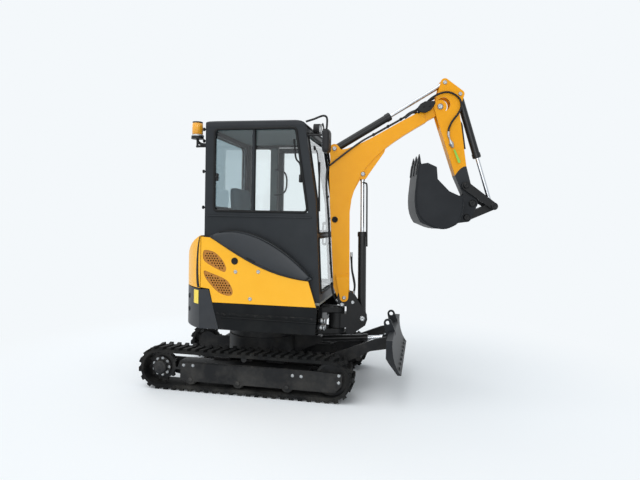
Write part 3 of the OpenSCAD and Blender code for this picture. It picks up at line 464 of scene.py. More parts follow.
paints = {
    "panelYellow": dict(tones=("f4b01e", "f6b526"), rough=0.36, grain=700, bump=0.04, dust=0.06, coat=0.12,
                        gloss=0.3),
    # painted shade: the right side panel's yellow is darkened to b0742a on faces set back from its face
    "panelYellowVentShade": dict(tones=("f4b01e", "f6b526"), rough=0.36, grain=700, bump=0.04, dust=0.06, coat=0.12,
                         gloss=0.3, zone=shadeDeeperThan(-0.5875), zoneColor="b0742a"),
    "boomYellow": dict(tones=("ea9d08", "eea30f"), rough=0.42, grain=600, bump=0.05, dust=0.04, wear=0.25,
                       coat=0.04, gloss=0.22),
    "armYellow": dict(tones=("ea9d08", "eea30f"), rough=0.42, grain=600, bump=0.05, dust=0.04, wear=0.25,
                      coat=0.04, gloss=0.22, zone=underCurve(2.058, 8.85, 1.141), zoneColor="24272b"),
    "cabCharcoal": dict(tones=("1e2226", "23272b"), rough=0.46, grain=900, bump=0.06, dust=0.08, edge=0.008,
                        gloss=0.24),
    "roofBlack": dict(tones=("222428", "272a2e"), rough=0.52, grain=700, bump=0.1, dust=0.12, edge=0.01,
                      gloss=0.3),
    "fenderBlack": dict(tones=("22262a", "272b30"), rough=0.42, grain=900, bump=0.08, dust=0.06, edge=0.012,
                        gloss=0.4),
    "chassisBlack": dict(tones=("141517", "1b1c1e"), rough=0.5, grain=400, bump=0.12, dust=0.16, wear=0.3,
                         gloss=0.22),
    "skirtBlack": dict(tones=("0b0d0f", "0f1214"), rough=0.42, grain=600, bump=0.08, dust=0.06, wear=0.3,
                       gloss=0.15),
    "postBlack": dict(tones=("121314", "18191b"), rough=0.4, grain=400, bump=0.08, dust=0.06, wear=0.2,
                      gloss=0.25),
    "wheelSteel": dict(tones=("1a1b1d", "242527"), rough=0.5, metal=0.2, grain=300, bump=0.2, dust=0.25,
                       gloss=0.3),
    "trackRubber": dict(tones=("0e0f10", "151617"), rough=0.75, grain=500, bump=0.35, dust=0.16, dustTop=0.6,
                        gloss=0.15),
    "bucketPaint": dict(tones=("171a1e", "1e2125"), rough=0.48, grain=350, bump=0.12, dust=0.08, wear=0.4,
                        gloss=0.2),
    "weightGrey": dict(tones=("26292d", "2c2f34"), rough=0.46, grain=260, bump=0.2, dust=0.1, edge=0.012,
                       gloss=0.35),
    "barrelBlack": dict(tones=("141516", "1a1b1c"), rough=0.3, grain=500, bump=0.05, dust=0.04, coat=0.08,
                        gloss=0.3),
    "rodChrome": dict(tones=("c9ccd0", "bfc2c6"), rough=0.14, metal=1.0, grain=900, bump=0.02, dust=0.0),
    "trimGrey": dict(tones=("83837a", "8b8b82"), rough=0.6, grain=900, bump=0.15, dust=0.1, dustTop=1.2),
    "liningGrey": dict(tones=("586365", "606b6d"), rough=0.7, grain=800, bump=0.2, dust=0.0),
    "seatFabric": dict(tones=("4a565d", "56636a"), rough=0.9, grain=1500, bump=0.6, dust=0.0, gloss=0.2),
    "engineIron": dict(tones=("4a4c4e", "56585a"), rough=0.6, metal=0.4, grain=200, bump=0.3, dust=0.3),
    "leverBlack": dict(tones=("17181a", "1d1e20"), rough=0.5, grain=900, bump=0.1, dust=0.04, gloss=0.3),
    "beaconAmber": dict(tones=("f2a41c", "f6b02c"), rough=0.2, grain=400, bump=0.05, dust=0.0, coat=0.5),
    "zinc": dict(tones=("b9bcbe", "a9acae"), rough=0.35, metal=0.85, grain=500, bump=0.08, dust=0.05),
    "handleGreen": dict(tones=("7fbf3a", "8ccb48"), rough=0.45, grain=700, bump=0.1, dust=0.05),
    "plateYellow": dict(tones=("f2d64a", "f5db57"), rough=0.5, grain=900, bump=0.05, dust=0.08),
    "hoseRubber": dict(tones=("131415", "191a1b"), rough=0.55, grain=700, bump=0.2, dust=0.05, gloss=0.3),
    "sealRubberAndShadowLine": dict(tones=("111213", "161718"), rough=0.6, grain=900, bump=0.1, dust=0.03, gloss=0.25),
    "mirrorFace": dict(tones=("c4cacd", "bcc2c5"), rough=0.05, metal=1.0, grain=900, bump=0.0, dust=0.02),
    "lampLens": dict(tones=("d7dde0", "c9d0d4"), rough=0.12, grain=120, bump=0.5, dust=0.0, coat=0.6),
}
finishes = {name: finish(name, **v) for name, v in paints.items()}
for name, color in (("paleGlass", "f5f9f9"), ("rearTint", "9db1b8")):
    finishes[name] = glassFinish(name, color)
nodeFinish = {
    "trackRubber": ["track_right", "track_left"],
    "chassisBlack": ["track_frame_right", "track_frame_left", "centre_frame", "blade_arms"],
    "skirtBlack": ["house_deck"],
    "postBlack": ["swing_bracket", "swing_post", "rocker", "bucket_link"],
    "wheelSteel": ["drive_sprockets", "idlers", "rollers", "slew_ring"],
    "bucketPaint": ["blade", "bucket", "bucket_teeth"],
    "panelYellow": ["side_panel_left", "engine_hood"],
    "panelYellowVentShade": ["side_panel_right"],
    "boomYellow": ["boom"],
    "armYellow": ["arm"],
    "cabCharcoal": ["cab_frame", "cab_side_right", "cab_side_left", "door"],
    "roofBlack": ["cab_roof"],
    "fenderBlack": ["fender"],
    "weightGrey": ["counterweight"],
    "barrelBlack": ["boom_barrel", "arm_barrel", "bucket_barrel", "blade_barrel"],
    "rodChrome": ["boom_rod", "arm_rod", "bucket_rod", "blade_rod"],
    "paleGlass": ["side_glass", "windshield", "door_glass"],
    "rearTint": ["rear_glass"],
    "trimGrey": ["cab_floor", "consoles", "seat_base"],
    "seatFabric": ["seat_cushion", "seat_back"],
    "engineIron": ["engine_block"],
    "leverBlack": ["travel_levers", "work_light", "side_mirror", "beacon"],
}
for look, nodes in nodeFinish.items():
    for node in nodes:
        mesh = frame["nodes"][node].data
        mesh.materials.clear()
        mesh.materials.append(finishes[look])
print("finishes on", sum(map(len, nodeFinish.values())), "nodes")

# hoses: free lengths of rubber between two bodies, their crimped ends on each, with points in millimetres
hoseDiameter = 0.018  # metres
tipLine = [(712, 2560), (752, 2604), (810, 2662), (885, 2704), (958, 2716), (1022, 2692), (1066, 2648),
           (1076, 2586), (1050, 2525), (1000, 2456), (971, 2385), (971, 2330)]
tipSide = np.array([72] + [73] * 9 + [71, 69])
tipTurn = ((860, 2720), (1010, 2600))
footTurn = ((125, 1120), (150, 930))
rearLine = [(-52, 1010), (-50, 950), (-42, 890), (-22, 830), (16, 790)]
rearTurn = ((-60, 960), (-20, 830))
hoses = {
    "tip_hose": {"bodies": ("boom", "arm"), "y": -tipSide, "turn": tipTurn, "points": tipLine},
    "tip_hose_far": {"bodies": ("boom", "arm"), "y": tipSide, "turn": tipTurn, "points": tipLine},
    "foot_hose": {"bodies": ("boom", "swing_post"), "y": -34, "turn": footTurn,
                  "points": [(124, 1250), (126, 1180), (132, 1090), (150, 1000), (160, 930), (150, 860)]},
    "foot_hose_far": {"bodies": ("boom", "swing_post"), "y": -8, "turn": footTurn,
                      "points": [(124, 1220), (127, 1160), (135, 1080), (154, 1000), (162, 930), (146, 850)]},
    "rear_hose": {"bodies": ("boom", "swing_post"), "y": -38, "turn": rearTurn, "points": rearLine},
    "rear_hose_far": {"bodies": ("boom", "swing_post"), "y": -10, "turn": rearTurn, "points": rearLine},
}
# crimped ferrule at each end of a hose
crimp = [(9.6, -4), (11.6, -2), (11.6, 8), (10.5, 10), (11.6, 12), (11.6, 22), (10.5, 24), (11.6, 26), (11.4, 34),
         (9.4, 36)]


def addHose(name, v):
    path = smoothPath(boomSide(v["points"], v["y"]))
    hose = newObject(name, [tube(path, hoseDiameter / 2, 12)], "hoseRubber")
    start, end = boomSide(v["turn"], np.ravel(v["y"])[0])
    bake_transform(hose)
    ends = [(path[0], path[1] - path[0]), (path[-1], path[-2] - path[-1])]
    for i, (at, way) in enumerate(ends):
        addPiece(f"{name}_end{i}", [turned(crimp, at, way, 18)], "zinc", v["bodies"][i], "rod_chrome")


for name, v in hoses.items():
    addHose(name, v)
print(len(hoses), "hoses")

# steel pipes clamped along the boom's top and rear edges, and the one that goes up and down with the lift rod
pipes = {
    "boom_pipes": {"body": "boom", "radius": 0.0085, "runs": [
        [(-96, -63, 2040), (14, -63, 2130), (120, -62, 2214), (205, -50, 2276), (300, -36, 2332), (420, -34, 2403),
         (563, -34, 2487), (610, -34, 2526), (650, -44, 2546), (684, -64, 2554), (706, -72, 2557)],
        [(300, -10, 2332), (420, -10, 2403), (563, -10, 2487), (620, 6, 2526), (660, 36, 2548), (686, 64, 2555),
         (706, 72, 2557)],
        [(578, -46, 2482), (640, -52, 2530), (690, -74, 2566), (720, -76, 2584)]]},
    "rear_pipes": {"body": "boom", "radius": 0.0095, "runs": [
        [(-100, -50, 2046), (-118, -44, 1980), (-120, -38, 1850), (-103, -38, 1660), (-88, -38, 1492),
         (-76, -38, 1300), (-62, -38, 1120), (-52, -38, 1006)],
        [(-118, -12, 2010), (-121, -10, 1850), (-103, -10, 1660), (-88, -10, 1492), (-76, -10, 1300),
         (-62, -10, 1120), (-52, -10, 1006)]]},
    "lift_pipe": {"body": "boom_rod", "radius": 0.0075, "runs": [
        [(214, -14, 1896), (236, -34, 1890), (249, -41, 1870), (253, -41, 1740), (259, -41, 1447),
         (263, -41, 1310)]]},
    "arm_pipe": {"body": "arm", "radius": 0.007, "runs": [
        [(1080, -40, 2462), (1096, -38, 2430), (1105, -38, 2370), (1120, -38, 2275), (1130, -38, 2215)]]},
}
for name, v in pipes.items():
    runs = [np.array(run) for run in v["runs"]]
    lines = [smoothPath(boomSide(run[:, [0, 2]], run[:, 1])) for run in runs]
    addPiece(name, [tube(line, v["radius"], 12) for line in lines], "barrelBlack", v["body"], "cylinder_black")

# clamps of the pipes: a short collar round each, at (s, z) and turned by lean degrees with the boom's edge
clamps = {"places": [(-104, 1760, 95), (-90, 1560, 95), (-78, 1330, 95), (-65, 1150, 95), (300, 2332, 30),
                     (430, 2409, 30), (545, 2476, 30)],
          "pipes": (-37, -10), "half": 9, "lift": 1.0, "collar": [(11.8, 0), (12.5, 1), (12.5, 17), (11.8, 18)]}
parts = []
for s, z, lean in clamps["places"]:
    along = np.array((np.cos(np.radians(lean)), np.sin(np.radians(lean))))
    middle = np.array((s, z)) + np.array((-along[1], along[0])) * clamps["lift"]
    for y in clamps["pipes"]:
        a, b = boomSide([middle - clamps["half"] * along, middle + clamps["half"] * along], y)
        parts.append(turned(clamps["collar"], a, b - a, 16))
addPiece("pipe_clamps", parts, "postBlack", "boom", "chassis_black")

# hose guards on both sides of the boom's tip: the outline shrinks about its middle, row by row
guard = {"outline": [(680, 2566), (709, 2605), (748, 2628), (846, 2634), (832, 2590), (806, 2552), (761, 2526),
                     (721, 2527), (690, 2542)],
         "corner": 14, "rows": [(1, 86), (1, 91), (0.95, 95), (0.85, 97)], "bolts": [(740, 2580), (790, 2588)],
         "stay": (700, 2536, 51), "stayProfile": [(12, 0), (12, 36)]}
outline = roundCorners(guard["outline"], guard["corner"])
middle = outline.mean(0)
for name, sign in (("hose_guard", -1), ("hose_guard_far", 1)):
    rows = [boomSide(middle + (outline - middle) * share, sign * y) for share, y in guard["rows"]]
    stay = boomSide([guard["stay"][:2]], sign * guard["stay"][2])[0]
    parts = [(np.concatenate(rows), loftFaces(len(rows), len(outline))),
             turned(guard["stayProfile"], stay, sign * boomLeft, 16)]
    parts += boltHeads(boomSide(guard["bolts"], sign * guard["rows"][-1][1]), sign * boomLeft, 7, 6)
    addPiece(name, parts, "hoseRubber", "boom", "cylinder_black")
print("pipes, clamps and guards")

# shut-off valve on the arm: a body turned about the hose's line, a block and nut on it, and its lever
valve = {"line": [(971, 2326), (1012, 2222)], "y": -72,
         "body": [(8, 0), (10, 4), (10, 16), (7, 20), (7, 40), (12, 44), (12, 58), (17, 62), (17, 96), (12, 100),
                  (12, 112)],
         "block": roundBox(-0.014, -0.02, 0.014, 0.02, 0.004), "blockAt": 0.078, "blockDeep": 0.014, "nutAt": 0.08,
         "lever": [(1020, 2206), (1030, 2196), (1080, 2092), (1072, 2082), (1058, 2084), (1014, 2196)],
         "leverFace": -0.0955, "leverThick": 0.006}
a, b = boomSide(valve["line"], valve["y"])
bodyLine = unit(b - a)
block = slab(valve["block"], a + bodyLine * valve["blockAt"] + boomLeft * valve["blockDeep"], bodyLine,
             np.cross(boomLeft, bodyLine), -valve["blockDeep"])
nut = boltHeads([a + bodyLine * valve["nutAt"]], -boomLeft, 11, 20)
addPiece("arm_valve", [turned(valve["body"], a, bodyLine, 20), block] + nut, "zinc", "arm", "rod_chrome")
lever = roundCorners(valve["lever"], 4, 4) / 1000
addPiece("valve_lever", [slab(lever, postFoot + boomLeft * valve["leverFace"], boomAhead, (0, 0, 1),
                              valve["leverThick"])], "handleGreen", "arm", "boom_yellow", smooth=False)

# pin heads on both sides: body and look, then s, z and radius of each, where its face is, and how far it rises
pinHeads = {
    "foot_pins": ("swing_post", "zinc", [(234, 650, 20, 79, 1), (46, 774, 16, 71, 0.3), (143, 796, 14, 71, 0.3)]),
    "hinge_pins": ("boom", "zinc", [(63, 839, 14, 86, 1)]),
    "lift_pins": ("boom", "zinc", [(210, 1971, 16, 52, 1)]),
    "crowd_base_pins": ("boom", "zinc", [(-54, 2195, 16, 58, 1)]),
    "arm_pins": ("arm", "zinc", [(928, 2806, 15, 58, 1), (1068, 2706, 14, 58, 1)]),
    "tip_pins": ("arm", "zinc", [(891, 2589, 21, 66, 1)]),
    "rocker_pins": ("arm", "postBlack", [(1137, 1880, 22, 102, 1)]),
    "bucket_pins": ("bucket", "postBlack", [(1202, 1723, 27, 81, 1), (1154, 1595, 25, 81, 1)]),
    "link_pins": ("rocker", "postBlack", [(1393, 1700, 27, 98, 1)]),
}
headProfile = np.array([(1.25, -0.5), (1.25, 3), (0.98, 3.5), (0.98, 8), (0.86, 9.5), (0.3, 9.5), (0.24, 7),
                        (0.1, 7)])
for name, (body, look, pins) in pinHeads.items():
    parts = [turned(headProfile * (r, rise), boomSide([(s, z)], sign * face)[0], sign * boomLeft, 28)
             for s, z, r, face, rise in pins for sign in (-1, 1)]
    addPiece(name, parts, look, body, "rod_chrome" if look == "zinc" else "chassis_black")

# spacers on the link's pin, and hose grommets on the boom's sides: rings turned about the boom's left
rings = {
    "link_spacers": {"place": (1393, 1700), "face": 54.5, "sides": 24,
                     "profile": [(20, 0), (23, 2), (23, 27), (20, 29)],
                     "finish": ("postBlack", "rocker", "chassis_black")},
    "boom_grommet": {"place": (-36, 1551), "face": 52, "sides": 28,
                     "profile": [(12, 0), (26, 0), (28, 3), (26, 9), (20, 11), (14, 9), (12, 4)],
                     "finish": ("sealRubberAndShadowLine", "boom", "cylinder_black")},
}
for name, v in rings.items():
    parts = [turned(v["profile"], boomSide([v["place"]], sign * v["face"])[0], sign * boomLeft, v["sides"])
             for sign in (-1, 1)]
    addPiece(name, parts, *v["finish"])

# foot plates of the boom, joggled out over the post's cheeks and round at the pin: s runs from left(z) to right(z),
# and y from the boom's skin to the outside of the cheek by a smooth step in z
footPlate = {"pin": (63, 839), "round": 38, "top": 1060, "joggle": (1012, 1060), "skin": 51.5, "clear": 80,
             "thick": 6, "thinned": 0.85, "left": ((839, 923, 1032, 1060), (25, 6, -16, -20)),
             "right": ((839, 1060), (101, 110))}


def footSkins(v):
    s0, z0 = v["pin"]
    a = np.linspace(0.08, np.pi / 2, 14)
    z = np.concatenate([z0 - v["round"] * np.cos(a), np.linspace(z0 + 6, v["top"], 36)])
    bow = v["round"] * np.sqrt(1 - np.clip((z0 - z) / v["round"], 0, 1) ** 2)
    left = np.where(z < z0, s0 - bow, np.interp(z, *v["left"]))[:, None]
    right = np.where(z < z0, s0 + bow, np.interp(z, *v["right"]))[:, None]
    step = np.clip((z - v["joggle"][0]) / (v["joggle"][1] - v["joggle"][0]), 0, 1)
    step = (step * step * (3 - 2 * step))[:, None]
    inner = v["clear"] + (v["skin"] - v["clear"]) * step
    outer = inner + v["thick"] * (1 - v["thinned"] * step)
    w = np.linspace(0, 1, 9)[None, :]
    return np.array(np.broadcast_arrays(left * (1 - w) + right * w, z[:, None], inner, outer)) / 1000


across, rise, inner, outer = footSkins(footPlate)
parts = [closedSheet(inBoom(across, sign * inner, rise), inBoom(across, sign * outer, rise)) for sign in (-1, 1)]
addPiece("boom_foot_plates", parts, "boomYellow", "boom", "boom_yellow", smooth=False, bevel=0.002)
print("pins and small parts of the boom")

# padded form: rings of a superellipse |x|^n + |z|^m = 1 along the width w, thinner at both ends, crowned in the
# middle, drawn in by pull between its corners, with sewn grooves at the given places across
padShape = {"powerX": 0.32, "powerZ": 0.42, "endPower": 7, "endDrop": 0.96, "endDraw": 0.12, "grooveDeep": 0.16,
            "grooveWide": 0.035, "rows": 56, "sides": 72}


def padForm(half, crown, pull, grooves):
    v = padShape
    w = np.sin(np.linspace(-np.pi / 2, np.pi / 2, v["rows"]))[:, None]
    a = np.linspace(0, 2 * np.pi, v["sides"], endpoint=False)[None, :]
    x = np.sign(np.cos(a)) * np.abs(np.cos(a)) ** v["powerX"]
    z = np.sign(np.sin(a)) * np.abs(np.sin(a)) ** v["powerZ"]
    end = (1 - np.abs(w) ** v["endPower"] * v["endDrop"]) ** 0.5
    x = x * (1 - pull * (1 - w ** 2)) * (1 - (1 - end) * v["endDraw"])
    z = z * end * (1 + np.where(z > 0, crown, 0.0) * (1 - w ** 2) * np.maximum(0, 1 - x ** 2))
    for g in grooves:
        z = z - np.where(z > 0, v["grooveDeep"] * np.exp(-((x - g) / v["grooveWide"]) ** 2), 0) * end
    local = np.stack(np.broadcast_arrays(x, w, z), -1) * half
    return local.reshape(-1, 3), loftFaces(v["rows"], v["sides"])


pads = {
    "seat_pad": {"node": "seat_cushion", "centre": (-5, 0, 1254), "half": (186, 232, 50), "lean": -3, "crown": 0.22,
                 "pull": 0.02, "grooves": (-0.45, 0.35), "face": 1},
    "back_pad": {"node": "seat_back", "centre": (-244, 0, 1530), "half": (310, 216, 46), "lean": 95, "crown": 0.3,
                 "pull": 0.04, "grooves": (-0.5, -0.1, 0.3), "face": -1},
}
for name, v in pads.items():
    points, faces = padForm(v["half"], v["crown"], v["pull"], v["grooves"])
    c, s = np.cos(np.radians(v["lean"])), np.sin(np.radians(v["lean"]))
    turn = np.array([[c, 0, -s], [0, 1, 0], [s, 0, c]])
    points = (points * (1, 1, v["face"]) @ turn.T + v["centre"]) / 1000
    pad = addPiece(name, [(points, faces)], "seatFabric", "house", "seat_fabric")
    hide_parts(v["node"])
# plinth under the cushion, with slide rails
plinth = {"outline": roundBox(-0.15, 1.15, 0.07, 1.207, 0.01), "half": 0.13,
          "rail": roundBox(-0.18, 1.1505, 0.12, 1.172, 0.004), "railSides": (-0.135, 0.15), "railWide": 0.015}
parts = [sideSlab(plinth["outline"], plinth["half"], 2 * plinth["half"])]
parts += [sideSlab(plinth["rail"], y, plinth["railWide"]) for y in plinth["railSides"]]
addPiece("seat_plinth", parts, "leverBlack", "house", "trim_grey", smooth=False, bevel=0.002)
print("seat")

# rubber seals round the panes: a tube on the outline, its corners rounded; plane, where it is, outline and radius
seals = {
    "side_seal": [("side", -551, [(-316, 2326), (420, 2330), (538, 1606), (-316, 1606)], 11)],
    "front_seal": [("front", 1, [(-478, 1424), (478, 1424), (478, 2300), (-478, 2300)], 9),
                   ("front", 1, [(-478, 904), (478, 904), (478, 1388), (-478, 1388)], 9)],
    "rear_seal": [("rear", -403, [(-430, 1640), (430, 1640), (430, 2292), (-430, 2292)], 11)],
    "quarter_seal": [("side", 551, [(-330, 2302), (-110, 2302), (-110, 1606), (-330, 1606)], 9)],
}
sealCorner = 38
# the cab's front face leans back above and below its bend
cabFront = {"z": (830, 1714, 2352), "x": (658, 606, 500)}


# closed line of an outline, with short steps along its straight runs and doubled points left out
def sealLine(plane, at, outline):
    path = roundCorners(outline, sealCorner)
    dense = np.concatenate([np.linspace(a, b, 6, endpoint=False) for a, b in zip(path, np.roll(path, -1, 0))])
    dense = dense[np.linalg.norm(np.roll(dense, -1, 0) - dense, axis=1) > 0.5]
    across, up = dense.T
    flat = np.full(len(dense), at)
    if plane == "side":
        return np.stack([across, flat, up], 1) / 1000
    ahead = flat if plane == "rear" else np.interp(up, cabFront["z"], cabFront["x"]) + at
    return np.stack([ahead, across, up], 1) / 1000


for name, outlines in seals.items():
    parts = [tube(sealLine(plane, at, outline), radius / 1000, 8, closed=True)
             for plane, at, outline, radius in outlines]
    addPiece(name, parts, "sealRubberAndShadowLine", "house", "cab_black")

# lining inside the cab: a sheet under the roof and a strip on the far pillar
lining = {"roof": roundBox(-0.345, -0.49, 0.43, 0.49, 0.05), "roofZ": 2.328, "roofThick": 0.016,
          "pillar": roundBox(-0.108, 1.61, -0.034, 2.3, 0.01), "pillarY": 0.504, "pillarThick": 0.008}
parts = [slab(lining["roof"], (0, 0, lining["roofZ"]), (1, 0, 0), (0, 1, 0), lining["roofThick"]),
         sideSlab(lining["pillar"], lining["pillarY"], lining["pillarThick"])]
addPiece("cab_lining", parts, "liningGrey", "house", "trim_grey", smooth=False, bevel=0.003)

# grab rail on the far pillar, its ends bent back to it
grabRail = {"line": [(-56, 2068), (-10, 2065), (48, 2042), (72, 1992), (76, 1936), (72, 1880), (48, 1830),
                     (-10, 1808), (-56, 1805)], "y": 488, "pillarY": 0.5, "radius": 0.009}
rail = smoothPath(houseSide(grabRail["line"], grabRail["y"]))
bent = np.linspace(grabRail["pillarY"], grabRail["y"] / 1000, 8)
rail[:8, 1], rail[-8:, 1] = bent, bent[::-1]
addPiece("grab_rail", [tube(rail, grabRail["radius"], 12)], "leverBlack", "house", "chassis_black")

# catches of the sliding pane: a bar inside, a block and a knob at each end, and a knob in the frame's corner
catch = {"bar": [(398, 2235), (404, 2190), (419, 2075), (452, 2030), (464, 1990), (468, 1905)], "barY": -528,
         "barRadius": 0.008, "places": [(-0.294, 1.905), (0.469, 1.896)], "half": (0.014, 0.034), "corner": 0.008,
         "blockY": -0.5375, "blockDeep": 0.016, "knob": [(9, 0), (11, 4), (11, 10), (7, 13)], "knobY": -0.553,
         "frameKnob": [(12, 0), (13, 4), (10, 8), (4, 9)], "frameAt": (0.36, -0.5495, 2.336)}
parts = [tube(smoothPath(houseSide(catch["bar"], catch["barY"])), catch["barRadius"], 10)]
for x, z in catch["places"]:
    w, h = catch["half"]
    outline = roundBox(x - w, z - h, x + w, z + h, catch["corner"])
    parts.append(sideSlab(outline, catch["blockY"], catch["blockDeep"]))
    parts.append(turned(catch["knob"], (x, catch["knobY"], z), (0, -1, 0), 18))
parts.append(turned(catch["frameKnob"], catch["frameAt"], (0, -1, 0), 18))
addPiece("pane_catches", parts, "leverBlack", "house", "chassis_black")

# sash bar where the panes overlap, moulded ledge under them, and hinge knobs on the cab's rear edge
sash = {"outline": roundBox(0.044, 1.611, 0.063, 2.322, 0.003), "y": -0.5355, "thick": 0.005}
addPiece("sash_bar", [sideSlab(sash["outline"], sash["y"], sash["thick"])], "sealRubberAndShadowLine", "house", "cab_black")
ledge = {"outline": roundBox(-0.372, 1.556, 0.572, 1.568, 0.004), "y": -0.5495, "thick": 0.011}
addPiece("side_ledge", [sideSlab(ledge["outline"], ledge["y"], ledge["thick"])], "cabCharcoal", "house",
         "cab_black", bevel=0.002)
rearKnobs = {"profile": [(7, -1), (7, 18), (15, 19), (16, 25), (15, 32), (10, 34)], "x": -0.402,
             "y": (-0.525, 0.525), "z": (2.33, 2.227, 1.956, 1.636)}
addPiece("rear_knobs", [turned(rearKnobs["profile"], (rearKnobs["x"], y, z), (-1, 0, 0), 20) for z in rearKnobs["z"]
                        for y in rearKnobs["y"]], "leverBlack", "house", "chassis_black")

# wiper: a bent arm, its blade and the cap of its spindle
wiper = {"arm": [(0.545, -0.3, 2.18), (0.566, -0.31, 2.12), (0.594, -0.36, 1.9), (0.609, -0.4, 1.76)],
         "armRadius": 0.006, "blade": [(0.587, -0.325, 2.06), (0.601, -0.385, 1.84), (0.616, -0.435, 1.62)],
         "bladeRadius": 0.009, "cap": [(20, 0), (22, 6), (16, 16), (8, 20)], "capAt": (0.526, -0.295, 2.19),
         "capWay": (1, 0, 0.17)}
parts = [tube(smoothPath(wiper["arm"]), wiper["armRadius"], 8),
         tube(smoothPath(wiper["blade"]), wiper["bladeRadius"], 8),
         turned(wiper["cap"], wiper["capAt"], wiper["capWay"], 20)]
addPiece("wiper", parts, "leverBlack", "house", "chassis_black")
print("cab trim")

# beacon: amber lens over the node's core, its lower rings ribbed by 1 + depth cos(ribs u), a collar and an arm
beacon = {"centre": (-0.524, -0.45), "ribs": 24, "ribDepth": 0.018, "ribbedRings": 3,
          "lens": [(47.5, 2292), (47.5, 2380), (46.5, 2396), (41, 2406), (30, 2411), (12, 2413)],
          "collar": [(48, 0), (58, 1), (58, 12), (52, 15), (50, 18)], "collarZ": 2.2775,
          "arm": [(-524, 2262), (-520, 2238), (-502, 2218), (-473, 2208), (-437, 2206), (-402, 2206)],
          "armRadius": 0.0125, "foot": [(26, 0), (26, 5), (14, 8)], "footAt": (-0.402, -0.45, 2.206)}
sides = beacon["ribs"] * 4
u = np.linspace(0, 2 * np.pi, sides, endpoint=False)
lens = np.array(beacon["lens"]) / 1000
ribbed = np.arange(len(lens))[:, None] < beacon["ribbedRings"]
radius = lens[:, :1] * np.where(ribbed, 1 + beacon["ribDepth"] * np.cos(beacon["ribs"] * u), 1)
x, y = beacon["centre"]
lensRings = np.stack(np.broadcast_arrays(x + radius * np.cos(u), y + radius * np.sin(u), lens[:, 1:]), -1)
addPiece("beacon_lens", [(lensRings.reshape(-1, 3), loftFaces(len(lens), sides))], "beaconAmber", "house",
         "beacon_amber")
addPiece("beacon_collar", [turned(beacon["collar"], (x, y, beacon["collarZ"]), (0, 0, 1), 40)], "zinc", "house",
         "rod_chrome")
beaconArm = tube(smoothPath(houseSide(beacon["arm"], 1000 * y)), beacon["armRadius"], 12)
addPiece("beacon_arm", [beaconArm, turned(beacon["foot"], beacon["footAt"], (-1, 0, 0), 20)], "leverBlack", "house",
         "chassis_black")

# work lamp: domed lens, and a wire guard of one ring, two bowed bars and four stays (x, and radius from the axis)
lamp = {"centre": (-0.33, 2.354), "lens": [(38.5, 0), (38, 5), (30, 9), (16, 12), (4, 13)], "lensX": 0.577,
        "ring": (0.612, 0.05), "ringWire": 0.0035, "bars": (-0.022, 0.022), "barBow": 0.622, "wire": 0.003,
        "stay": [(0.612, 0.05), (0.575, 0.048), (0.545, 0.045)]}
y, z = lamp["centre"]
addPiece("lamp_lens", [turned(lamp["lens"], (lamp["lensX"], y, z), (1, 0, 0), 32)], "lampLens", "house",
         "rod_chrome")
x, r = lamp["ring"]
a = np.linspace(0, 2 * np.pi, 40, endpoint=False)
ring = np.stack([np.full(40, x), y + r * np.cos(a), z + r * np.sin(a)], 1)
wires = [tube(ring, lamp["ringWire"], 8, closed=True)]
for k in lamp["bars"]:
    reach = np.sqrt(r ** 2 - k ** 2)
    wires.append(tube([(x, y + k, z - reach), (lamp["barBow"], y + k, z), (x, y + k, z + reach)], lamp["wire"], 8))
for q in np.pi / 4 + np.arange(4) * np.pi / 2:
    stay = [(at, y + away * np.cos(q), z + away * np.sin(q)) for at, away in lamp["stay"]]
    wires.append(tube(stay, lamp["wire"], 8))
addPiece("lamp_guard", wires, "leverBlack", "house", "chassis_black")

# mirror: bent tube from the roof, the glass, and a shell round the node's plate whose outline shrinks by each row's
# share at its x
mirror = {"tube": [(500, 2386), (540, 2398), (574, 2408), (640, 2432), (672, 2428), (684, 2404), (684, 2352),
                   (680, 2312)], "tubeY": -522, "tubeRadius": 0.009,
          "shell": roundBox(-0.568, 2.122, -0.426, 2.32, 0.03),
          "rows": [(0.9, 0.652), (1.0, 0.658), (1.0, 0.69), (0.94, 0.703), (0.8, 0.71)],
          "glass": roundBox(-0.556, 2.136, -0.438, 2.306, 0.02), "glassX": 0.6518, "glassThick": 0.0015}
share, x = np.array(mirror["rows"]).T[:, :, None]
middle = mirror["shell"].mean(0)
y, z = np.moveaxis(middle + (mirror["shell"] - middle) * share[..., None], -1, 0)
shell = np.stack(np.broadcast_arrays(x, y, z), -1)
mirrorTube = tube(smoothPath(houseSide(mirror["tube"], mirror["tubeY"])), mirror["tubeRadius"], 12)
addPiece("mirror_shell", [(shell.reshape(-1, 3), loftFaces(*shell.shape[:2])), mirrorTube], "leverBlack", "house",
         "chassis_black")
glass = slab(mirror["glass"], (mirror["glassX"], 0, 0), (0, 1, 0), (0, 0, 1), -mirror["glassThick"])
addPiece("mirror_glass", [glass], "mirrorFace", "house", "rod_chrome")
print("beacon, lamp and mirror")

# plan of the tail: straight sides, and a circle about the slew axis behind them
tail = {"half": 0.59, "radius": 0.728}


def tailY(x):
    return -np.minimum(tail["half"], np.sqrt(np.maximum(tail["radius"] ** 2 - np.asarray(x) ** 2, 0)))


# a strip laid on the tail's skin: a grid of points between two edge lines, sunk a little and lifted on top
def skinStrip(left, right, lift, cols=7, sunk=0.0005):
    left, right = np.asarray(left, float) / 1000, np.asarray(right, float) / 1000
    t = np.linspace(0, 1, cols)[None, :, None]
    grid = left[:, None] * (1 - t) + right[:, None] * t
    x, z = grid[..., 0], grid[..., 1]
    return closedSheet(*(np.stack([x, tailY(x) - out, z], -1) for out in (-sunk, lift)))


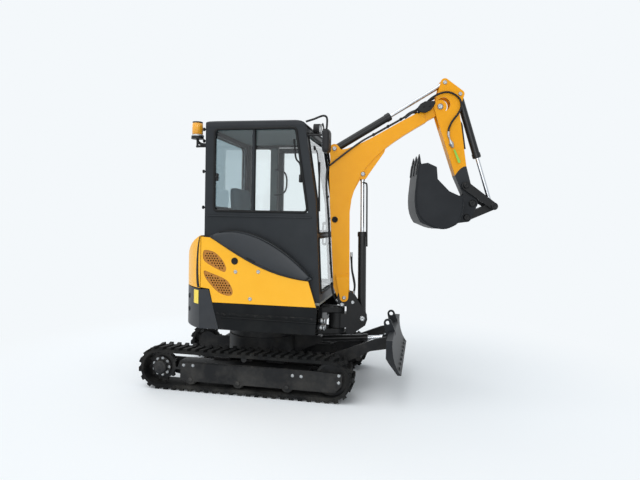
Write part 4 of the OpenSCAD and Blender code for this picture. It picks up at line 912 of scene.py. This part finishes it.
# dark seal in the gap behind the side panel, wider at its foot
hoodSeal = {"line": [(-428, 0, 1376), (-448, 0, 1290), (-458, 0, 1180), (-459, 0, 1060), (-450, 0, 960),
                     (-438, 0, 922)],
            "widthAt": (922, 1050, 1250, 1376), "width": (34, 30, 20, 10), "lift": 0.003}
seam = smoothPath(hoodSeal["line"], 6)[:, [0, 2]]
half = np.interp(seam[:, 1], hoodSeal["widthAt"], hoodSeal["width"])[:, None] * np.array((0.5, 0))
addPiece("hood_seal", [skinStrip(seam - half, seam + half, hoodSeal["lift"])], "sealRubberAndShadowLine", "hood", "cab_black")
plate = {"x": (-505, -437), "z": (774, 896), "lift": 0.0025}
addPiece("blank_plate", [skinStrip(*([(x, z) for z in plate["z"]] for x in plate["x"]), plate["lift"], 9)],
         "plateYellow", "house", "body_yellow", smooth=False)

# round cap and locks on the side panels
panel = {"face": 0.59, "cap": [(30, -1), (31, 2), (29, 6), (24, 7.5), (22, 5.5), (10, 5)], "capAt": (-0.1, 1.168),
         "lock": [(17, -0.5), (17, 2), (13, 4), (6, 4), (5, 2)],
         "locks": [(-0.091, 1.074, -1), (0.117, 1.082, -1), (0.046, 0.84, -1), (-0.2, 1.05, 1), (-0.2, 0.86, 1)]}
x, z = panel["capAt"]
addPiece("panel_cap", [turned(panel["cap"], (x, -panel["face"], z), (0, -1, 0), 36)], "sealRubberAndShadowLine", "house",
         "cab_black")
addPiece("panel_locks", [turned(panel["lock"], (x, side * panel["face"], z), (0, side, 0), 28)
                         for x, z, side in panel["locks"]], "zinc", "house", "rod_chrome")

# bolts and the rolled edge of the deck's skirts
skirt = {"boltX": (-0.185, 0.1, 0.38, 0.6), "boltY": 0.596, "boltZ": 0.695, "edgeRadius": 0.008,
         "edge": [(-0.2, -0.5905, 0.668), (-0.188, -0.5925, 0.668), (0.2, -0.5925, 0.664), (0.6, -0.5925, 0.66),
                  (0.628, -0.5905, 0.66)]}
skirtBolts = [(x, side * skirt["boltY"], skirt["boltZ"]) for x in skirt["boltX"] for side in (-1, 1)]
outward = [(0, np.sign(y), 0) for x, y, z in skirtBolts]
addPiece("skirt_bolts", boltHeads(skirtBolts, outward, 8, 6), "postBlack", "house", "chassis_black", smooth=False)
addPiece("skirt_bead", [tube(smoothPath(np.array(skirt["edge"]) * (1, side, 1), 10), skirt["edgeRadius"], 12)
                        for side in (1, -1)], "skirtBlack", "house", "chassis_black")

# crown on the fender: ruled between its lower and upper curves, standing out by rise w^0.4 (1 - w) sin(pi t)^0.5,
# with a grip in it and a dark bead along its upper edge that is a painted shadow line
fender = {"low": [(-330, 1374), (-60, 1214), (180, 1050), (562, 1021)],
          "high": [(-330, 1384), (-60, 1530), (330, 1350), (596, 1035)], "face": -0.6, "rise": 0.034, "inset": 0.05,
          "skin": 0.0005, "sunk": 0.001, "edgeRadius": 0.005, "shadowLineSunk": 0.0015,
          "grip": [(11, 1203), (26, 1200), (84, 1174), (97, 1160), (80, 1160), (20, 1188)], "gripY": -0.609,
          "gripThick": 0.007}
grip = roundCorners(np.array(fender["grip"]) / 1000, 0.004)
addPiece("fender_grip", [sideSlab(grip, fender["gripY"], fender["gripThick"])], "sealRubberAndShadowLine", "house", "cab_black",
         smooth=False)
t = np.linspace(0.02, 0.985, 60)
w = np.linspace(0, 1, 21)[None, :]
span = (fender["inset"] + (1 - 2 * fender["inset"]) * w)[..., None]
flat = (bezier(fender["low"], t)[:, None] * (1 - span) + bezier(fender["high"], t)[:, None] * span) / 1000
stand = fender["rise"] * w ** 0.4 * (1 - w) * np.sin(np.pi * (t - t[0]) / (t[-1] - t[0]))[:, None] ** 0.5
skins = [np.stack([flat[..., 0], fender["face"] - out, flat[..., 1]], -1)
         for out in (np.full_like(stand, -fender["sunk"]), stand + fender["skin"])]
addPiece("fender_crown", [closedSheet(*skins)], "fenderBlack", "house", "cab_black")
# painted shadow: this dark rubber tube stands in for the shadow line along the crown's upper edge
edge = houseSide(bezier(fender["high"], np.linspace(0.1, 0.97, 40)), 1000 * (fender["face"] + fender["shadowLineSunk"]))
addPiece("fender_shadow_line", [tube(edge, fender["edgeRadius"], 10)], "sealRubberAndShadowLine", "house", "cab_black")

# round plugs on the counterweight, square to its curve
plug = {"profile": [(22, -2), (24, 3), (20, 8), (10, 9)], "x": -0.6, "z": (0.70, 0.82)}
y = np.sqrt(tail["radius"] ** 2 - plug["x"] ** 2)
addPiece("weight_plugs", [turned(plug["profile"], (plug["x"], side * y, z), (plug["x"], side * y, 0), 28)
                          for z in plug["z"] for side in (-1, 1)], "weightGrey", "house", "weight_grey")
print("house trim")

# track frames: guard bolts, the hub's ring of bolts and its cover, the rollers' caps and the idler's cap
trackTrim = {"bolts": [(-0.547, 0.226), (-0.459, 0.229), (0.451, 0.208), (0.527, 0.206), (0.853, 0.236),
                       (0.852, 0.176)], "guardY": 0.632,
             "hub": (-0.78, 0.19), "hubBolts": 9, "hubRing": 0.074, "hubBoltY": 0.594, "hubY": 0.626,
             "hubCover": [(60, -2), (62, 2), (58, 9), (44, 14), (40, 11), (20, 12), (18, 15), (8, 15)],
             "rollerX": (-0.4826, -0.0406, 0.4014), "rollerZ": 0.1003,
             "rollerCap": [(20, -1), (20, 6), (14, 9), (6, 9)],
             "idler": (0.78, 0.19), "idlerY": 0.604, "idlerCap": [(44, -1), (45, 4), (36, 9), (16, 10)]}


# places and directions of the bolts, and the covers, on one side of the machine
def trackSide(v, side):
    x, z = v["hub"]
    ring = np.arange(v["hubBolts"]) * 2 * np.pi / v["hubBolts"]
    places = [(a, side * v["guardY"], b) for a, b in v["bolts"]]
    places += [(x + v["hubRing"] * np.cos(k), side * v["hubBoltY"], z + v["hubRing"] * np.sin(k)) for k in ring]
    out = (0, side, 0)
    covers = [turned(v["hubCover"], (x, side * v["hubY"], z), out, 40)]
    covers += [turned(v["rollerCap"], (a, side * v["guardY"], v["rollerZ"]), out, 24) for a in v["rollerX"]]
    x, z = v["idler"]
    covers.append(turned(v["idlerCap"], (x, side * v["idlerY"], z), out, 32))
    return boltHeads(places, out, 10, 9), covers


trackBolts, trackCovers = zip(*(trackSide(trackTrim, side) for side in (-1, 1)))
addPiece("frame_bolts", sum(trackBolts, []), "zinc", "undercarriage", "wheel_steel", smooth=False)
addPiece("hub_covers", sum(trackCovers, []), "wheelSteel", "undercarriage", "wheel_steel")

# couplings at the house's front, below the floor
coupling = {"profile": [(16, -2), (16, 12), (22, 13), (22, 30), (17, 31), (17, 44), (24, 45), (24, 58), (15, 60)],
            "x": 0.632, "places": [(-0.40, 0.60), (-0.46, 0.60), (-0.43, 0.655)]}
addPiece("front_couplings", [turned(coupling["profile"], (coupling["x"], y, z), (1, 0, 0), 20)
                             for y, z in coupling["places"]], "zinc", "house", "rod_chrome")

# bolts along the blade's cutting edge
bladeBolts = {"x": 1.352, "z": 0.318, "half": 0.56, "count": 8, "way": (0.93, 0, 0.36)}
places = [(bladeBolts["x"], y, bladeBolts["z"])
          for y in np.linspace(-bladeBolts["half"], bladeBolts["half"], bladeBolts["count"])]
addPiece("blade_bolts", boltHeads(places, bladeBolts["way"], 12, 8), "bucketPaint", "blade", "blade_paint",
         smooth=False)

# weld beads round the bucket's side plates: a tube whose radius ripples by a sine along it
weld = {"line": [(1098, 1762), (1090, 1640), (1049, 1540), (975, 1490), (900, 1478), (820, 1500), (752, 1540),
                 (700, 1600), (672, 1680), (664, 1800), (684, 2046)], "sides": (-216, 216),
        "middle": (880, 1800), "inset": 0.012, "radius": 0.0045, "ripple": 0.0009, "pace": 2.4}
parts = []
for y in weld["sides"]:
    path = smoothPath(boomSide(weld["line"], y))
    inward = unit(boomSide([weld["middle"]], y) - path)
    ripple = weld["radius"] + weld["ripple"] * np.sin(np.arange(len(path)) * weld["pace"])
    parts.append(tube(path + inward * weld["inset"], ripple, 8))
addPiece("bucket_beads", parts, "bucketPaint", "bucket", "blade_paint")

# adapters that hold the teeth: a clip over the lip at each, with its locking pin
adapter = {"outline": [(668, 1962), (674, 2036), (679, 2074), (690, 2086), (712, 2072), (720, 2036), (716, 1984),
                       (704, 1962)], "corner": 8, "places": (-170, 0, 170), "half": 26, "pinAt": (696, 2030),
           "pin": [(9, -30), (9, 29), (7, 30)]}
clip = roundCorners(adapter["outline"], adapter["corner"], 5) / 1000
parts = []
for y in adapter["places"]:
    face = inBoom(0, (y + adapter["half"]) / 1000, 0)
    parts.append(slab(clip, face, boomAhead, (0, 0, 1), 2 * adapter["half"] / 1000))
    parts.append(turned(adapter["pin"], boomSide([adapter["pinAt"]], y)[0], boomLeft, 16))
addPiece("tooth_adapters", parts, "bucketPaint", "bucket", "blade_paint", smooth=False, bevel=0.004)
print("undercarriage and tools")

# the photograph's view: yaw, pitch and roll in radians about the line of sight
photoView = {"lens": 29.93, "sensor": 36.0, "place": (1.5175, -5.0161, 1.5379), "yaw": 0.1918, "pitch": 0.0363,
             "roll": 0.0213, "far": 100}


# a matrix from three directions and a place, as columns
def columns(side, up, back, place):
    turn = np.eye(4)
    turn[:3] = np.stack([side, up, back, place], 1)
    return Matrix(turn.tolist())


# looks along (-sin yaw cos pitch, cos yaw cos pitch, -sin pitch), then turned by roll about that line
def placeCamera(v):
    sy, cy, sp, cp = np.sin(v["yaw"]), np.cos(v["yaw"]), np.sin(v["pitch"]), np.cos(v["pitch"])
    look = np.array((-sy * cp, cy * cp, -sp))
    right = np.array((cy, sy, 0))
    up = np.cross(right, look)
    c, s = np.cos(v["roll"]), np.sin(v["roll"])
    data = bpy.data.cameras.new("photoCamera")
    data.lens, data.sensor_width, data.clip_end = v["lens"], v["sensor"], v["far"]
    cam = bpy.data.objects.new("photoCamera", data)
    scene.collection.objects.link(cam)
    cam.matrix_world = columns(c * right + s * up, c * up - s * right, -look, v["place"])
    scene.camera = cam


placeCamera(photoView)

# studio: pale floor and sky of one tone, a broad soft sun from behind the left shoulder and two large lamps
studio = {"floor": "f4f8fb", "sky": "f4f8fb", "skyLight": 0.62, "reach": 60.0,
          "sun": {"place": (-2.2, -2.4, 5.0), "strength": 1.25, "spread": 1.1},
          "lamps": [("front", (1.6, -7.5, 2.6), (0.4, 0, 1.0), (5.0, 3.0), 120),
                    ("rear", (-6.0, 4.8, 4.6), (0, 0, 1.2), (4.0, 3.0), 110)],
          "fade": {"centre": (0.4, 0.3, 0.0), "start": 1.7, "end": 4.0}}


# a lamp at its place, turned so that it shines on aim
def addLamp(data, place, aim):
    lampObject = bpy.data.objects.new(data.name, data)
    scene.collection.objects.link(lampObject)
    back = unit(np.array(place) - aim)
    side = unit(np.cross((0, 0, 1), back))
    lampObject.matrix_world = columns(side, np.cross(back, side), back, place)


# 1 for rays whose end is seen: from the camera, through glass or in a reflection
def seenRay(tree):
    path = tree.nodes.new("ShaderNodeLightPath")
    found = path.outputs["Is Camera Ray"]
    for kind in ("Is Transmission Ray", "Is Glossy Ray"):
        either = addNode(tree, "ShaderNodeMath", operation="MAXIMUM")
        tree.links.new(found, either.inputs[0])
        tree.links.new(path.outputs[kind], either.inputs[1])
        found = either.outputs[0]
    return found


# the floor goes over to the sky's colour away from the machine, for rays that are seen
def fadeFloor(tree, skin, v):
    link = tree.links.new
    away = addNode(tree, "ShaderNodeVectorMath", operation="DISTANCE")
    away.inputs[1].default_value = v["fade"]["centre"]
    amount = addNode(tree, "ShaderNodeMapRange", interpolation_type="SMOOTHSTEP",
                     **{"From Min": v["fade"]["start"], "From Max": v["fade"]["end"]})
    share = addNode(tree, "ShaderNodeMath", operation="MULTIPLY")
    glow = addNode(tree, "ShaderNodeEmission", Color=(*tint(v["sky"]), 1))
    mix = tree.nodes.new("ShaderNodeMixShader")
    link(tree.nodes.new("ShaderNodeTexCoord").outputs["Object"], away.inputs[0])
    link(away.outputs["Value"], amount.inputs["Value"])
    link(amount.outputs[0], share.inputs[0])
    link(seenRay(tree), share.inputs[1])
    link(share.outputs[0], mix.inputs["Fac"])
    link(skin.outputs[0], mix.inputs[1])
    link(glow.outputs[0], mix.inputs[2])
    link(mix.outputs[0], tree.nodes["Material Output"].inputs["Surface"])


# the sky is of full strength where it is seen, and lights the machine with less
def lightStudio(v):
    world = bpy.data.worlds.new("studio")
    scene.world = world
    world.use_nodes = True
    tree = world.node_tree
    back = tree.nodes["Background"]
    back.inputs["Color"].default_value = (*tint(v["sky"]), 1)
    level = addNode(tree, "ShaderNodeMapRange", **{"To Min": v["skyLight"], "To Max": 1.0})
    tree.links.new(seenRay(tree), level.inputs["Value"])
    tree.links.new(level.outputs[0], back.inputs["Strength"])
    sun = bpy.data.lights.new("sun", "SUN")
    sun.energy, sun.angle = v["sun"]["strength"], v["sun"]["spread"]
    addLamp(sun, v["sun"]["place"], (0, 0, 0))
    for name, place, aim, size, power in v["lamps"]:
        data = bpy.data.lights.new(name, "AREA")
        data.shape, data.size, data.size_y, data.energy = "RECTANGLE", size[0], size[1], power
        addLamp(data, place, aim)


# one wide square, without gloss
def layFloor(v):
    mesh = bpy.data.meshes.new("floor")
    corners = np.array([(-1, -1, 0), (1, -1, 0), (1, 1, 0), (-1, 1, 0)]) * v["reach"]
    mesh.from_pydata(corners.tolist(), [], [(0, 1, 2, 3)])
    paper, tree, skin = newMaterial("floorPaper")
    skin.inputs["Base Color"].default_value = (*tint(v["floor"]), 1)
    skin.inputs["Roughness"].default_value = 1.0
    skin.inputs["Specular IOR Level"].default_value = 0.0
    fadeFloor(tree, skin, v)
    mesh.materials.append(paper)
    floor = bpy.data.objects.new("floor", mesh)
    scene.collection.objects.link(floor)


lightStudio(studio)
layFloor(studio)
print("camera and studio ready")
